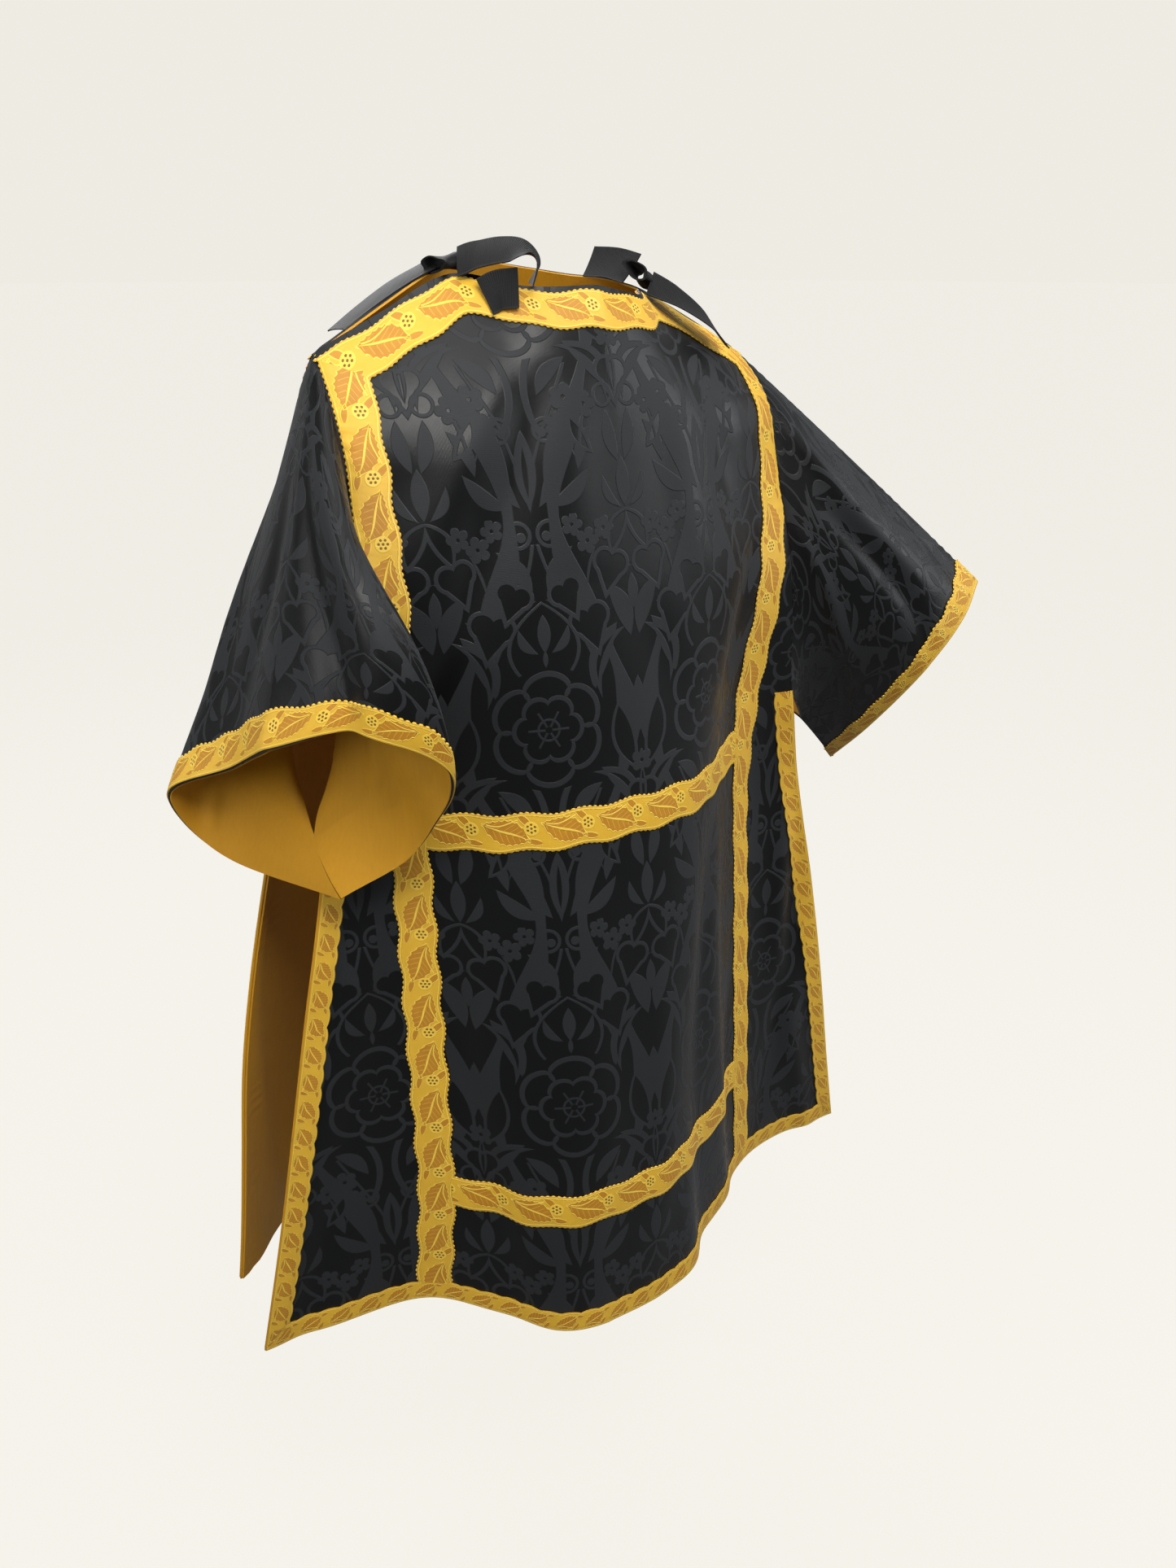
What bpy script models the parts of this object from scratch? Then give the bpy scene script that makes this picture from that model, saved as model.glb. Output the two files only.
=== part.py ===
"""A worn dalmatic of damask, lined, trimmed with galloon and tied at the shoulders with ribbon.

Units are metres and +Z is up.  The front of the garment faces -Y and the wearer's left is +X.
The origin is the middle of the neck opening, at the height of the top of the shoulders.

Every point of the cloth is found from two cloth measures, as on the flat cut: "across", from
the centre line towards a side edge, and "down", from the neckline at the centre.  A piece of
cloth is a wall lofted through rows of points: its outer face, and its inner face behind it.
"""
import bmesh
import bpy
import math
import numpy as np

# Cloth and trim, as bought
CLOTH = 0.0016
LINING = 0.0010
GALLOON = 0.0012
RIBBON = 0.0012
SEAM_GAP = 0.0003
TRIM_GAP = 0.0005
WIDE_GALLOON = 0.037
NARROW_GALLOON = 0.023
RIBBON_WIDTH = 0.036

# Cut of a front or back panel
LENGTH = 1.080
YOKE = 0.155
UNDERARM = 0.450
NECK_ACROSS = 0.130
NECK_RISE = -0.030
SHOULDER_ACROSS = 0.262
SHOULDER_DROP = 0.047
GALLOON_INSET = 0.007
UPPER_BAND = 0.503
LOWER_BAND = 0.925
EDGE_DOWN = (SHOULDER_DROP, 0.250, UNDERARM, 0.550, LENGTH)
EDGE_ACROSS = (SHOULDER_ACROSS, 0.266, 0.305, 0.330, 0.445)
STRIPE_DOWN = (SHOULDER_DROP, 0.500, 0.925, LENGTH)
STRIPE_ACROSS = (0.243, 0.241, 0.251, 0.262)

# How level lines of the hanging cloth run.  Rows: down, depth and height at the centre line,
# rise of the cloth at the stripe and at the side edge, then how far the line turns from
# straight across, in degrees, at each of the cloth measures across.
TURN_ACROSS = (0.00, 0.05, 0.09, 0.14, 0.19, 0.24, 0.30, 0.37, 0.45)
RISE_ACROSS = (0.00, 0.13, 0.25, 0.45)
FRONT_ROWS_LEFT = (
    (0.155, -0.123, -0.175, 0.000, 0.000, 0, 5, 10, 16, 22, 25, 20, 20, 20),
    (0.300, -0.147, -0.318, 0.000, 0.000, 0, 4, 12, 22, 28, 8, -10, -10, -10),
    (0.450, -0.162, -0.466, 0.000, 0.000, 0, 8, 24, 38, 36, 8, -18, -20, -20),
    (0.550, -0.171, -0.564, 0.000, 0.000, 0, 12, 28, 36, 36, 24, -14, -18, -18),
    (0.700, -0.183, -0.712, 0.002, 0.000, 0, 16, 32, 34, 34, 28, -2, -12, -12),
    (0.925, -0.197, -0.937, 0.006, 0.002, 0, 20, 33, 34, 34, 28, 8, 0, -4),
    (1.080, -0.203, -1.090, 0.014, 0.006, 0, 20, 35, 35, 33, 30, 14, 2, -4),
)
FRONT_ROWS_RIGHT = (
    (0.155, -0.123, -0.175, 0.000, 0.000, 0, 5, 10, 16, 22, 27, 30, 30, 30),
    (0.300, -0.147, -0.318, 0.002, 0.002, 0, 4, 9, 15, 21, 26, 30, 30, 30),
    (0.450, -0.162, -0.466, 0.004, 0.004, 0, 6, 16, 28, 34, 38, 22, 20, 20),
    (0.550, -0.171, -0.564, 0.006, 0.006, 0, 5, 14, 30, 40, 40, 10, 4, 4),
    (0.700, -0.183, -0.712, 0.012, 0.010, 0, 3, 13, 34, 44, 41, 10, 8, 8),
    (0.925, -0.197, -0.937, 0.022, 0.012, 0, 0, 10, 36, 50, 45, 16, 13, 13),
    (1.080, -0.203, -1.090, 0.032, 0.010, 0, 0, 12, 40, 52, 46, 18, 16, 16),
)
BACK_ROWS = (
    (0.155, 0.118, -0.160, 0.000, 0.000, 0, 6, 12, 18, 24, 28, 30, 30, 30),
    (0.300, 0.146, -0.302, 0.000, 0.000, 0, 4, 11, 18, 24, 30, 32, 32, 32),
    (0.450, 0.160, -0.451, 0.000, 0.000, 0, 0, 14, 32, 32, 28, 36, 38, 38),
    (0.550, 0.168, -0.550, 0.000, 0.000, 0, -4, 14, 38, 32, 18, 30, 42, 42),
    (0.700, 0.182, -0.698, 0.000, 0.000, 0, -8, 16, 42, 26, 6, 26, 42, 40),
    (0.925, 0.212, -0.920, 0.004, 0.002, 0, -18, 27, 50, 16, -12, 31, 47, 31),
    (1.080, 0.232, -1.073, 0.008, 0.004, 0, -24, 33, 53, 12, -17, 37, 50, 25),
)

# Top edge of a panel.  Rows: across, sideways place, depth, height.
FRONT_TOP = (
    (0.000, 0.000, -0.086, -0.026),
    (0.070, 0.066, -0.064, -0.026),
    (0.130, 0.108, -0.012, -0.016),
    (0.200, 0.182, -0.007, -0.048),
    (0.262, 0.247, 0.000, -0.080),
)
BACK_TOP = (
    (0.000, 0.000, 0.082, -0.010),
    (0.070, 0.066, 0.064, -0.010),
    (0.130, 0.110, 0.016, -0.010),
    (0.200, 0.183, 0.007, -0.046),
    (0.262, 0.247, 0.000, -0.080),
)
LOW_SHOULDER = 0.020

# Cuff of a sleeve, from the top seam to the underarm seam.  Rows: share of the way round the
# half, sideways place, depth, height, then how far the cloth swells half way along the sleeve.
CUFF_RIGHT_FRONT = (
    (0.00, -0.360, -0.090, -0.400, -0.002, -0.004, 0.000),
    (0.22, -0.305, -0.160, -0.376, 0.000, -0.038, 0.010),
    (0.42, -0.243, -0.200, -0.409, 0.000, -0.048, 0.025),
    (0.72, -0.235, -0.130, -0.510, 0.005, -0.020, 0.000),
    (1.00, -0.298, -0.096, -0.556, -0.012, 0.000, 0.000),
)
CUFF_RIGHT_BACK = (
    (0.00, -0.360, -0.090, -0.400, -0.002, -0.004, 0.000),
    (0.15, -0.365, -0.035, -0.430, -0.005, 0.010, 0.000),
    (0.50, -0.400, 0.050, -0.480, -0.005, 0.015, 0.000),
    (0.80, -0.348, 0.026, -0.550, -0.010, 0.010, 0.000),
    (1.00, -0.298, -0.096, -0.556, -0.012, 0.000, 0.000),
)
CUFF_LEFT_FRONT = (
    (0.00, 0.520, -0.130, -0.365, 0.000, -0.004, 0.000),
    (0.25, 0.462, -0.160, -0.395, 0.000, -0.016, 0.000),
    (0.50, 0.425, -0.145, -0.450, 0.000, -0.020, 0.000),
    (0.78, 0.415, -0.070, -0.540, 0.000, -0.010, 0.000),
    (1.00, 0.430, 0.000, -0.600, 0.006, 0.000, 0.000),
)
CUFF_LEFT_BACK = (
    (0.00, 0.520, -0.130, -0.365, 0.000, -0.004, 0.000),
    (0.25, 0.535, -0.060, -0.400, 0.000, 0.014, 0.000),
    (0.50, 0.525, 0.005, -0.460, 0.000, 0.020, 0.000),
    (0.78, 0.480, 0.030, -0.550, 0.000, 0.015, 0.000),
    (1.00, 0.430, 0.000, -0.600, 0.006, 0.000, 0.000),
)
UNDERARM_VENT = 0.55
SLEEVE_EASE = {("front", -1): 0.125, ("front", 1): 0.0, ("back", -1): 0.0, ("back", 1): 0.0}

# Ribbons.  Rows: sideways place, depth, height, then the way the ribbon's width points.
BOW_RIGHT = (
    (-0.062, -0.072, -0.0256, 0.45, 0.80, 0.10),
    (-0.058, -0.075, -0.0116, 0.50, 0.80, 0.00),
    (-0.058, -0.070, -0.0016, 0.45, 0.85, 0.20),
    (-0.066, -0.058, 0.0044, 0.20, 0.85, 0.45),
    (-0.078, -0.044, 0.0044, 0.00, 0.90, 0.40),
    (-0.092, -0.028, 0.0004, -0.20, 0.90, 0.20),
    (-0.104, -0.014, -0.0056, -0.20, 0.90, 0.20),
)
TAIL_RIGHT_SHORT = (
    (-0.098, -0.050, -0.0355, 0.10, 0.35, 0.90),
    (-0.088, -0.057, -0.0295, 0.10, 0.35, 0.90),
    (-0.075, -0.070, -0.0275, 0.10, 0.35, 0.90),
)
TAIL_RIGHT_LONG = (
    (-0.112, 0.022, -0.0088, 0.00, 0.96, 0.00),
    (-0.144, 0.025, -0.0238, 0.00, 0.96, 0.00),
    (-0.178, 0.025, -0.0428, 0.00, 0.96, -0.05),
    (-0.210, 0.024, -0.0628, 0.00, 0.96, -0.10),
)
BOW_LEFT = (
    (0.110, -0.024, -0.0295, 0.40, 0.60, 0.60),
    (0.134, -0.040, -0.0435, 0.30, 0.75, 0.55),
    (0.160, -0.052, -0.0635, 0.20, 0.80, 0.50),
    (0.182, -0.055, -0.0865, 0.10, 0.80, 0.50),
)
STRAP_LEFT = (
    (0.090, 0.050, -0.0106, 0.60, 0.10, 0.70),
    (0.101, 0.026, -0.0116, 0.60, 0.10, 0.70),
    (0.108, 0.002, -0.0166, 0.60, 0.10, 0.70),
)

# Grid of the cloth
COLUMN_SHARES = (0.0, 0.20, 0.40, 0.594, 0.80, 1.0)
GORE_SHARES = (0.0, 0.5, 1.0)
BELOW_STRIP = 0.45
LEVELS = (0.205, 0.260, 0.320, 0.385, UNDERARM,
          UPPER_BAND - WIDE_GALLOON / 2, UPPER_BAND + WIDE_GALLOON / 2,
          0.610, 0.685, 0.760, 0.830,
          LOWER_BAND - WIDE_GALLOON / 2, LOWER_BAND + WIDE_GALLOON / 2,
          1.000, LENGTH - NARROW_GALLOON, LENGTH)
ARMHOLE_ROWS = 9
UPPER_BAND_ROW = 9
LOWER_BAND_ROW = 15
PANELS = ("front", "back")
SIDES = {-1: "right", 1: "left"}
SLEEVE_STATIONS = (0.0, 0.14, 0.28, 0.42, 0.56, 0.72, 0.895, 1.0)

# Colours, from the photograph of such a garment
FINISHES = {
    "damask": ((0.010, 0.011, 0.012, 1.0), 0.55, 0.0),
    "galloon": ((0.680, 0.400, 0.030, 1.0), 0.45, 0.3),
    "lining": ((0.560, 0.290, 0.012, 1.0), 0.70, 0.0),
    "ribbon": ((0.012, 0.012, 0.013, 1.0), 0.75, 0.0),
}


def smooth_read(x, table_x, table_y):
    """Value at x of the smooth curve through a table, level with its end rows outside it."""
    xs = np.asarray(table_x, float)
    ys = np.asarray(table_y, float)
    x = np.clip(np.asarray(x, float), xs[0], xs[-1])
    i = np.clip(np.searchsorted(xs, x, side="right") - 1, 0, len(xs) - 2)
    slopes = np.gradient(ys, xs, axis=0)
    step = xs[i + 1] - xs[i]
    t = (x - xs[i]) / step
    if ys.ndim > 1:
        t = t[..., None]
        step = step[..., None]
    return ((1 + 2 * t) * (1 - t) ** 2 * ys[i] + t * (1 - t) ** 2 * step * slopes[i]
            + t * t * (3 - 2 * t) * ys[i + 1] + t * t * (t - 1) * step * slopes[i + 1])


def unit(vectors):
    return vectors / np.linalg.norm(vectors, axis=-1, keepdims=True)


def edge_across(down):
    return float(smooth_read(down, EDGE_DOWN, EDGE_ACROSS))


def stripe_across(down):
    return float(np.interp(down, STRIPE_DOWN, STRIPE_ACROSS))


def under_top(across, distance=0.0):
    """Cloth measure down of the line that runs at a distance below the top edge."""
    reach = abs(across)
    top = np.interp(reach, (0.0, NECK_ACROSS, SHOULDER_ACROSS), (0.0, NECK_RISE, SHOULDER_DROP))
    slope = math.atan2(SHOULDER_DROP - NECK_RISE, SHOULDER_ACROSS - NECK_ACROSS)
    lean = math.cos(slope) if reach > NECK_ACROSS else 1.0
    return float(top) + distance / lean


def level_point(rows, across, down):
    """Point of the hanging cloth below the yoke."""
    table = np.array(rows, float)
    depth, height, stripe_rise, edge_rise, *turns = smooth_read(down, table[:, 0], table[:, 1:])
    reach = abs(across)
    steps = 24
    middles = (np.arange(steps) + 0.5) * reach / steps
    angles = np.radians(smooth_read(middles, TURN_ACROSS, turns))
    sideways = np.cos(angles).sum() * reach / steps
    inward = np.sin(angles).sum() * reach / steps
    rise = smooth_read(reach, RISE_ACROSS, (0.0, stripe_rise * 0.3, stripe_rise, edge_rise))
    return np.array([math.copysign(sideways, across), depth - math.copysign(inward, depth),
                     height + float(rise)])


def panel_point(panel, across, down):
    """Point of the outer face of a panel."""
    rows = BACK_ROWS
    top = BACK_TOP
    if panel == "front":
        rows = FRONT_ROWS_LEFT if across >= 0 else FRONT_ROWS_RIGHT
        top = FRONT_TOP
    if down >= YOKE:
        return level_point(rows, across, down)
    table = np.array(top, float)
    start = smooth_read(abs(across), table[:, 0], table[:, 1:])
    start[0] = math.copysign(start[0], across)
    start[2] -= LOW_SHOULDER * float(np.clip(across / NECK_ACROSS, 0.0, 1.0))
    end = level_point(rows, across, YOKE)
    below = level_point(rows, across, YOKE + 0.01)
    span = YOKE - under_top(across)
    t = (down - under_top(across)) / span
    leave = (end - start) * np.array([1.0, 1.35, 0.80])
    arrive = (below - end) / 0.01 * span
    return ((1 + 2 * t) * (1 - t) ** 2 * start + t * (1 - t) ** 2 * leave
            + t * t * (3 - 2 * t) * end + t * t * (t - 1) * arrive)


def panel_columns(down):
    """Cloth measures across of the grid's columns, from the centre line to one side edge."""
    inner = stripe_across(down) - WIDE_GALLOON / 2
    edge = edge_across(down)
    outer = min(stripe_across(down) + WIDE_GALLOON / 2, edge - 0.003)
    border = max(edge - NARROW_GALLOON, (outer + edge) / 2)
    columns = [inner * share for share in COLUMN_SHARES]
    columns += [outer + (border - outer) * share for share in GORE_SHARES]
    return columns + [edge]


def panel_grid(panel):
    """Rows of points from the top edge to the hem, each from the right side edge to the left."""
    strip_end = GALLOON_INSET + WIDE_GALLOON
    downs = [lambda a: under_top(a), lambda a: under_top(a, GALLOON_INSET),
             lambda a: under_top(a, strip_end),
             lambda a: under_top(a, strip_end) * (1 - BELOW_STRIP) + LEVELS[0] * BELOW_STRIP]
    levels = [SHOULDER_DROP, SHOULDER_DROP, SHOULDER_DROP, YOKE]
    for level in LEVELS:
        downs.append(lambda a, level=level: level)
        levels.append(level)
    grid = []
    for down, level in zip(downs, levels):
        columns = panel_columns(level)
        across = [-a for a in reversed(columns[1:])] + columns
        grid.append([panel_point(panel, a, down(a)) for a in across])
    return np.array(grid)


def sleeve_grid(armhole, underarm, panel, side):
    """Rows of points from the armhole to the cuff, each from the top to the underarm seam."""
    cuffs = {("front", -1): CUFF_RIGHT_FRONT, ("back", -1): CUFF_RIGHT_BACK,
             ("front", 1): CUFF_LEFT_FRONT, ("back", 1): CUFF_LEFT_BACK}
    table = np.array(cuffs[panel, side], float)
    steps = np.linalg.norm(np.diff(armhole, axis=0), axis=1)
    share = np.concatenate([[0.0], np.cumsum(steps)]) / steps.sum()
    cuff = smooth_read(share, table[:, 0], table[:, 1:])
    grid = []
    for along in SLEEVE_STATIONS:
        swell = 4 * along * (1 - along)
        row = armhole * (1 - along) + cuff[:, :3] * along + cuff[:, 3:] * swell
        vent = max(0.0, 1 - along / UNDERARM_VENT) - (1 - along)
        row += (armhole[-1] - underarm) * vent * share[:, None] ** 3
        ease = SLEEVE_EASE[panel, side] * along * (1 - along) ** 2
        row[:, 0] += side * ease * np.sin(np.pi * share ** 0.7)
        grid.append(row)
    grid = np.array(grid)
    grid[0] += unit(grid[1] - grid[0]) * SEAM_GAP
    return grid


def grid_normals(grid, outward):
    """Unit normals of a grid of points, on the side that the function outward points to."""
    normals = unit(np.cross(np.gradient(grid, axis=1), np.gradient(grid, axis=0)))
    middle = grid.shape[0] // 2, grid.shape[1] // 2
    if normals[middle] @ outward(grid[middle]) < 0:
        normals = -normals
    return normals


def whole(row, column, half):
    return True


def grid_triangles(rows, columns, wanted, closed, mirror):
    """Triangles of the cells of a grid, as threes of place numbers, row by row.

    A cell is cut in an upper and a lower half, mirrored about the column named mirror, and the
    function wanted says which halves a piece has.  A closed grid joins last column to first.
    """
    found = []
    for r in range(rows - 1):
        for c in range(columns if closed else columns - 1):
            a, b = r * columns + c, r * columns + (c + 1) % columns
            d, e = a + columns, b + columns
            halves = {"upper": (a, b, d), "lower": (b, e, d)}
            if c < mirror:
                halves = {"upper": (a, b, e), "lower": (a, e, d)}
            found += [corners for half, corners in halves.items() if wanted(r, c, half)]
    return found


def border_edges(triangles):
    """Edges that one triangle alone has, each with the third corner of that triangle."""
    found = {}
    for a, b, c in triangles:
        for start, end, third in ((a, b, c), (b, c, a), (c, a, b)):
            if (end, start) in found:
                del found[end, start]
            else:
                found[start, end] = third
    return found


def pull_in(points, triangles):
    """Moves the border of a piece in by half of the gap that cut pieces keep at a seam."""
    leans = {}
    for (start, end), third in border_edges(triangles).items():
        run = unit(points[end] - points[start])
        lean = points[third] - points[start]
        lean = unit(lean - run * (lean @ run))
        leans.setdefault(start, []).append(lean)
        leans.setdefault(end, []).append(lean)
    for place, (one, two) in leans.items():
        points[place] += (one + two) * SEAM_GAP / 2 / max(0.3, 1 + one @ two)


def solid(name, top, bottom, triangles, finish):
    """One closed body between two faces of points, with a wall all along their border."""
    mesh = bmesh.new()
    places = sorted({place for corners in triangles for place in corners})
    upper = {place: mesh.verts.new(top[place]) for place in places}
    lower = {place: mesh.verts.new(bottom[place]) for place in places}
    for a, b, c in triangles:
        mesh.faces.new((upper[a], upper[b], upper[c]))
        mesh.faces.new((lower[c], lower[b], lower[a]))
    for start, end in border_edges(triangles):
        mesh.faces.new((upper[end], upper[start], lower[start], lower[end]))
    if mesh.calc_volume(signed=True) < 0:
        bmesh.ops.reverse_faces(mesh, faces=mesh.faces)
    data = bpy.data.meshes.new(name)
    mesh.to_mesh(data)
    mesh.free()
    data.shade_smooth()
    data.set_sharp_from_angle(angle=math.radians(50))
    data.materials.append(bpy.data.materials[finish])
    piece = bpy.data.objects.new(name, data)
    bpy.data.collections["dalmatic"].objects.link(piece)


def wall(name, cloth, outer, thickness, finish, wanted=whole, closed=False, mirror=None):
    """A wall of cloth over the wanted cells of a grid, its outer face moved out by a distance."""
    grid, normals = cloth
    rows, columns = grid.shape[:2]
    if mirror is None:
        mirror = (columns - 1) / 2
    triangles = grid_triangles(rows, columns, wanted, closed, mirror)
    points = grid.reshape(-1, 3).copy()
    out = normals.reshape(-1, 3)
    pull_in(points, triangles)
    solid(name, points + out * outer, points + out * (outer - thickness), triangles, finish)


def share_seam_normals(cloth):
    """Pieces that meet at a seam lean their edges the same way, so their walls never cross."""
    def join(places):
        together = unit(sum(cloth[key][1][index] for key, index in places))
        least = min(float(cloth[key][1][index] @ together) for key, index in places)
        for key, index in places:
            cloth[key][1][index] = together / max(0.6, least)

    for side, edge in ((-1, 0), (1, -1)):
        front, back = ("sleeve", "front", side), ("sleeve", "back", side)
        for r in range(1, ARMHOLE_ROWS):
            join([(("panel", "front"), (r, edge)), (front, (0, r))])
            join([(("panel", "back"), (r, edge)), (back, (0, r))])
        join([(("panel", "front"), (0, edge)), (("panel", "back"), (0, edge)),
              (front, (0, 0)), (back, (0, 0))])
        for station, along in enumerate(SLEEVE_STATIONS):
            if station:
                join([(front, (station, 0)), (back, (station, 0))])
            if along > UNDERARM_VENT:
                join([(front, (station, -1)), (back, (station, -1))])


def make_cloth():
    """Outer face and normals of each panel and each half of a sleeve."""
    cloth = {}
    for panel, facing in (("front", -1), ("back", 1)):
        grid = panel_grid(panel)
        normals = grid_normals(grid, lambda p: np.array([0.0, facing, 0.0]))
        shoulder = np.abs(grid[0, :, 0]) > 0.9 * FRONT_TOP[2][1]
        normals[0, shoulder, 1] = 0.0
        normals[0] = unit(normals[0])
        cloth["panel", panel] = [grid, normals]
    for side, edge in ((-1, 0), (1, -1)):
        armholes = {panel: cloth["panel", panel][0][:ARMHOLE_ROWS, edge] for panel in PANELS}
        underarm = (armholes["front"][-1] + armholes["back"][-1]) / 2
        halves = {panel: sleeve_grid(armholes[panel], underarm, panel, side) for panel in PANELS}
        middle = np.mean([half.mean(axis=(0, 1)) for half in halves.values()], axis=0)
        for panel, half in halves.items():
            cloth["sleeve", panel, side] = [half, grid_normals(half, lambda p: p - middle)]
    share_seam_normals(cloth)
    return cloth


def sleeve_round(cloth, side):
    """Both halves of a sleeve as one grid, from the underarm over the top and back to it."""
    halves = zip(cloth["sleeve", "front", side], cloth["sleeve", "back", side])
    return [np.concatenate([front[:, ::-1], back[:, 1:]], axis=1) for front, back in halves]


def make_panels_and_sleeves(cloth):
    for panel in PANELS:
        wall(f"{panel}_panel", cloth["panel", panel], 0.0, CLOTH, "damask")
        wall(f"{panel}_lining", cloth["panel", panel], -CLOTH - SEAM_GAP, LINING, "lining")
        for side, word in SIDES.items():
            half = cloth["sleeve", panel, side]
            wall(f"sleeve_{word}_{panel}", half, 0.0, CLOTH, "damask", mirror=0)
    for side, word in SIDES.items():
        wall(f"sleeve_{word}_lining", sleeve_round(cloth, side), -CLOTH - SEAM_GAP, LINING, "lining")


def galloon(name, cloth, wanted=whole, closed=False):
    wall(name, cloth, TRIM_GAP + GALLOON, GALLOON, "galloon", wanted, closed)


def make_panel_galloons(cloth):
    """Galloons of both panels.  A cell is named by its row and the column on its right side."""
    centre = len(COLUMN_SHARES) + len(GORE_SHARES)
    stripes = {"right": centre - len(COLUMN_SHARES), "left": centre + len(COLUMN_SHARES) - 1}
    between = range(stripes["right"] + 1, stripes["left"])
    hem = len(cloth["panel", "front"][0]) - 2
    sides = (0, 2 * centre - 1)
    for panel in PANELS:
        piece = cloth["panel", panel]

        def neck(row, column, half):
            return row == 1 and (column in between or column in stripes.values() and half == "upper")

        def border(row, column, half):
            return row == hem or row >= ARMHOLE_ROWS and column in sides

        galloon(f"neck_galloon_{panel}", piece, neck)
        galloon(f"border_galloon_{panel}", piece, border)
        for word, place in stripes.items():
            def stripe(row, column, half):
                return column == place and (1 < row < hem or row == 1 and half == "lower")

            galloon(f"stripe_{word}_{panel}", piece, stripe)
        for word, place in (("upper", UPPER_BAND_ROW), ("lower", LOWER_BAND_ROW)):
            def band(row, column, half):
                return row == place and column in between

            galloon(f"{word}_band_{panel}", piece, band)


def make_cuff_galloons(cloth):
    for side, word in SIDES.items():
        cuff = [values[-2:, :-1] for values in sleeve_round(cloth, side)]
        galloon(f"cuff_galloon_{word}", cuff, closed=True)


def make_ribbon(name, table, steps=3):
    """A flat ribbon along the smooth curve through a table's places."""
    rows = np.array(table, float)
    along = np.arange(len(rows))
    stations = np.linspace(0, len(rows) - 1, (len(rows) - 1) * steps + 1)
    read = smooth_read(stations, along, rows)
    middle = read[:, :3]
    run = unit(np.gradient(middle, axis=0))
    width = unit(read[:, 3:] - run * (read[:, 3:] * run).sum(axis=1, keepdims=True))
    out = np.cross(run, width)
    edges = np.stack([middle - width * RIBBON_WIDTH / 2, middle + width * RIBBON_WIDTH / 2], axis=1)
    wall(name, (edges, np.stack([out, out], axis=1)), RIBBON / 2, RIBBON, "ribbon")


def make_finishes():
    for name, (colour, roughness, metallic) in FINISHES.items():
        finish = bpy.data.materials.new(name)
        finish.use_nodes = True
        shader = finish.node_tree.nodes["Principled BSDF"]
        shader.inputs["Base Color"].default_value = colour
        shader.inputs["Roughness"].default_value = roughness
        shader.inputs["Metallic"].default_value = metallic


def main():
    for old in list(bpy.data.objects):
        bpy.data.objects.remove(old, do_unlink=True)
    bpy.context.scene.collection.children.link(bpy.data.collections.new("dalmatic"))
    make_finishes()
    cloth = make_cloth()
    make_panels_and_sleeves(cloth)
    make_panel_galloons(cloth)
    make_cuff_galloons(cloth)
    make_ribbon("ribbon_right_bow", BOW_RIGHT)
    make_ribbon("ribbon_right_short_tail", TAIL_RIGHT_SHORT)
    make_ribbon("ribbon_right_long_tail", TAIL_RIGHT_LONG)
    make_ribbon("ribbon_left_bow", BOW_LEFT)
    make_ribbon("ribbon_left_strap", STRAP_LEFT)


main()
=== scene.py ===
"""Looks of a worn dalmatic: black damask, mustard lining, woven galloon and ribbon ties.

Units are metres and +Z is up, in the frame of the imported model.  Cloth is laid out in cloth
measures, "across" from the centre line and "down" from the neckline, and its UV map holds them.
"""
import math
import bpy
import numpy as np
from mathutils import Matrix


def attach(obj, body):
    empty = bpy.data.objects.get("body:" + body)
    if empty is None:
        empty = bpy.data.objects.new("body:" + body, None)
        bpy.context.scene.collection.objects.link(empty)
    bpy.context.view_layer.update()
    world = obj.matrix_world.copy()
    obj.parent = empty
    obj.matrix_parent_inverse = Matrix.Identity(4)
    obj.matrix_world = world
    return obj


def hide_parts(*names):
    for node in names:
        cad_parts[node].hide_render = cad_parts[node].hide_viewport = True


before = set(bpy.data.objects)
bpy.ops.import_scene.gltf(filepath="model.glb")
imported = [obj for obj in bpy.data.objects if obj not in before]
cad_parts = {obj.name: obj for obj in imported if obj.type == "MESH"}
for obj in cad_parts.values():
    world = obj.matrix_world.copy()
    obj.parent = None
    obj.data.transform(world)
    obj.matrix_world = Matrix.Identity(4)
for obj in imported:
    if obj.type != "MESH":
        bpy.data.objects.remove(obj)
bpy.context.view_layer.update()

# Cloth and trim, as in the solids
CLOTH = 0.0016
LINING = 0.001
GALLOON = 0.0012
RIBBON = 0.0012
SEAM_GAP = 0.0003
TRIM_GAP = 0.0005
WIDE_GALLOON = 0.037
NARROW_GALLOON = 0.023
RIBBON_WIDTH = 0.036
RIBBON_CUP = 0.0012
RIBBON_STEPS = 14

# Cut of a front or back panel, as in the solids
LENGTH = 1.08
YOKE = 0.155
UNDERARM = 0.45
NECK_ACROSS = 0.13
NECK_RISE = -0.03
SHOULDER_ACROSS = 0.262
SHOULDER_DROP = 0.047
GALLOON_INSET = 0.007
NECK_BEND = 0.025
UPPER_BAND = 0.503
LOWER_BAND = 0.925
EDGE_DOWN = (SHOULDER_DROP, 0.25, UNDERARM, 0.55, LENGTH)
EDGE_ACROSS = (SHOULDER_ACROSS, 0.266, 0.305, 0.33, 0.445)
STRIPE_DOWN = (SHOULDER_DROP, 0.5, 0.925, LENGTH)
STRIPE_ACROSS = (0.243, 0.241, 0.251, 0.262)

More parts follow.
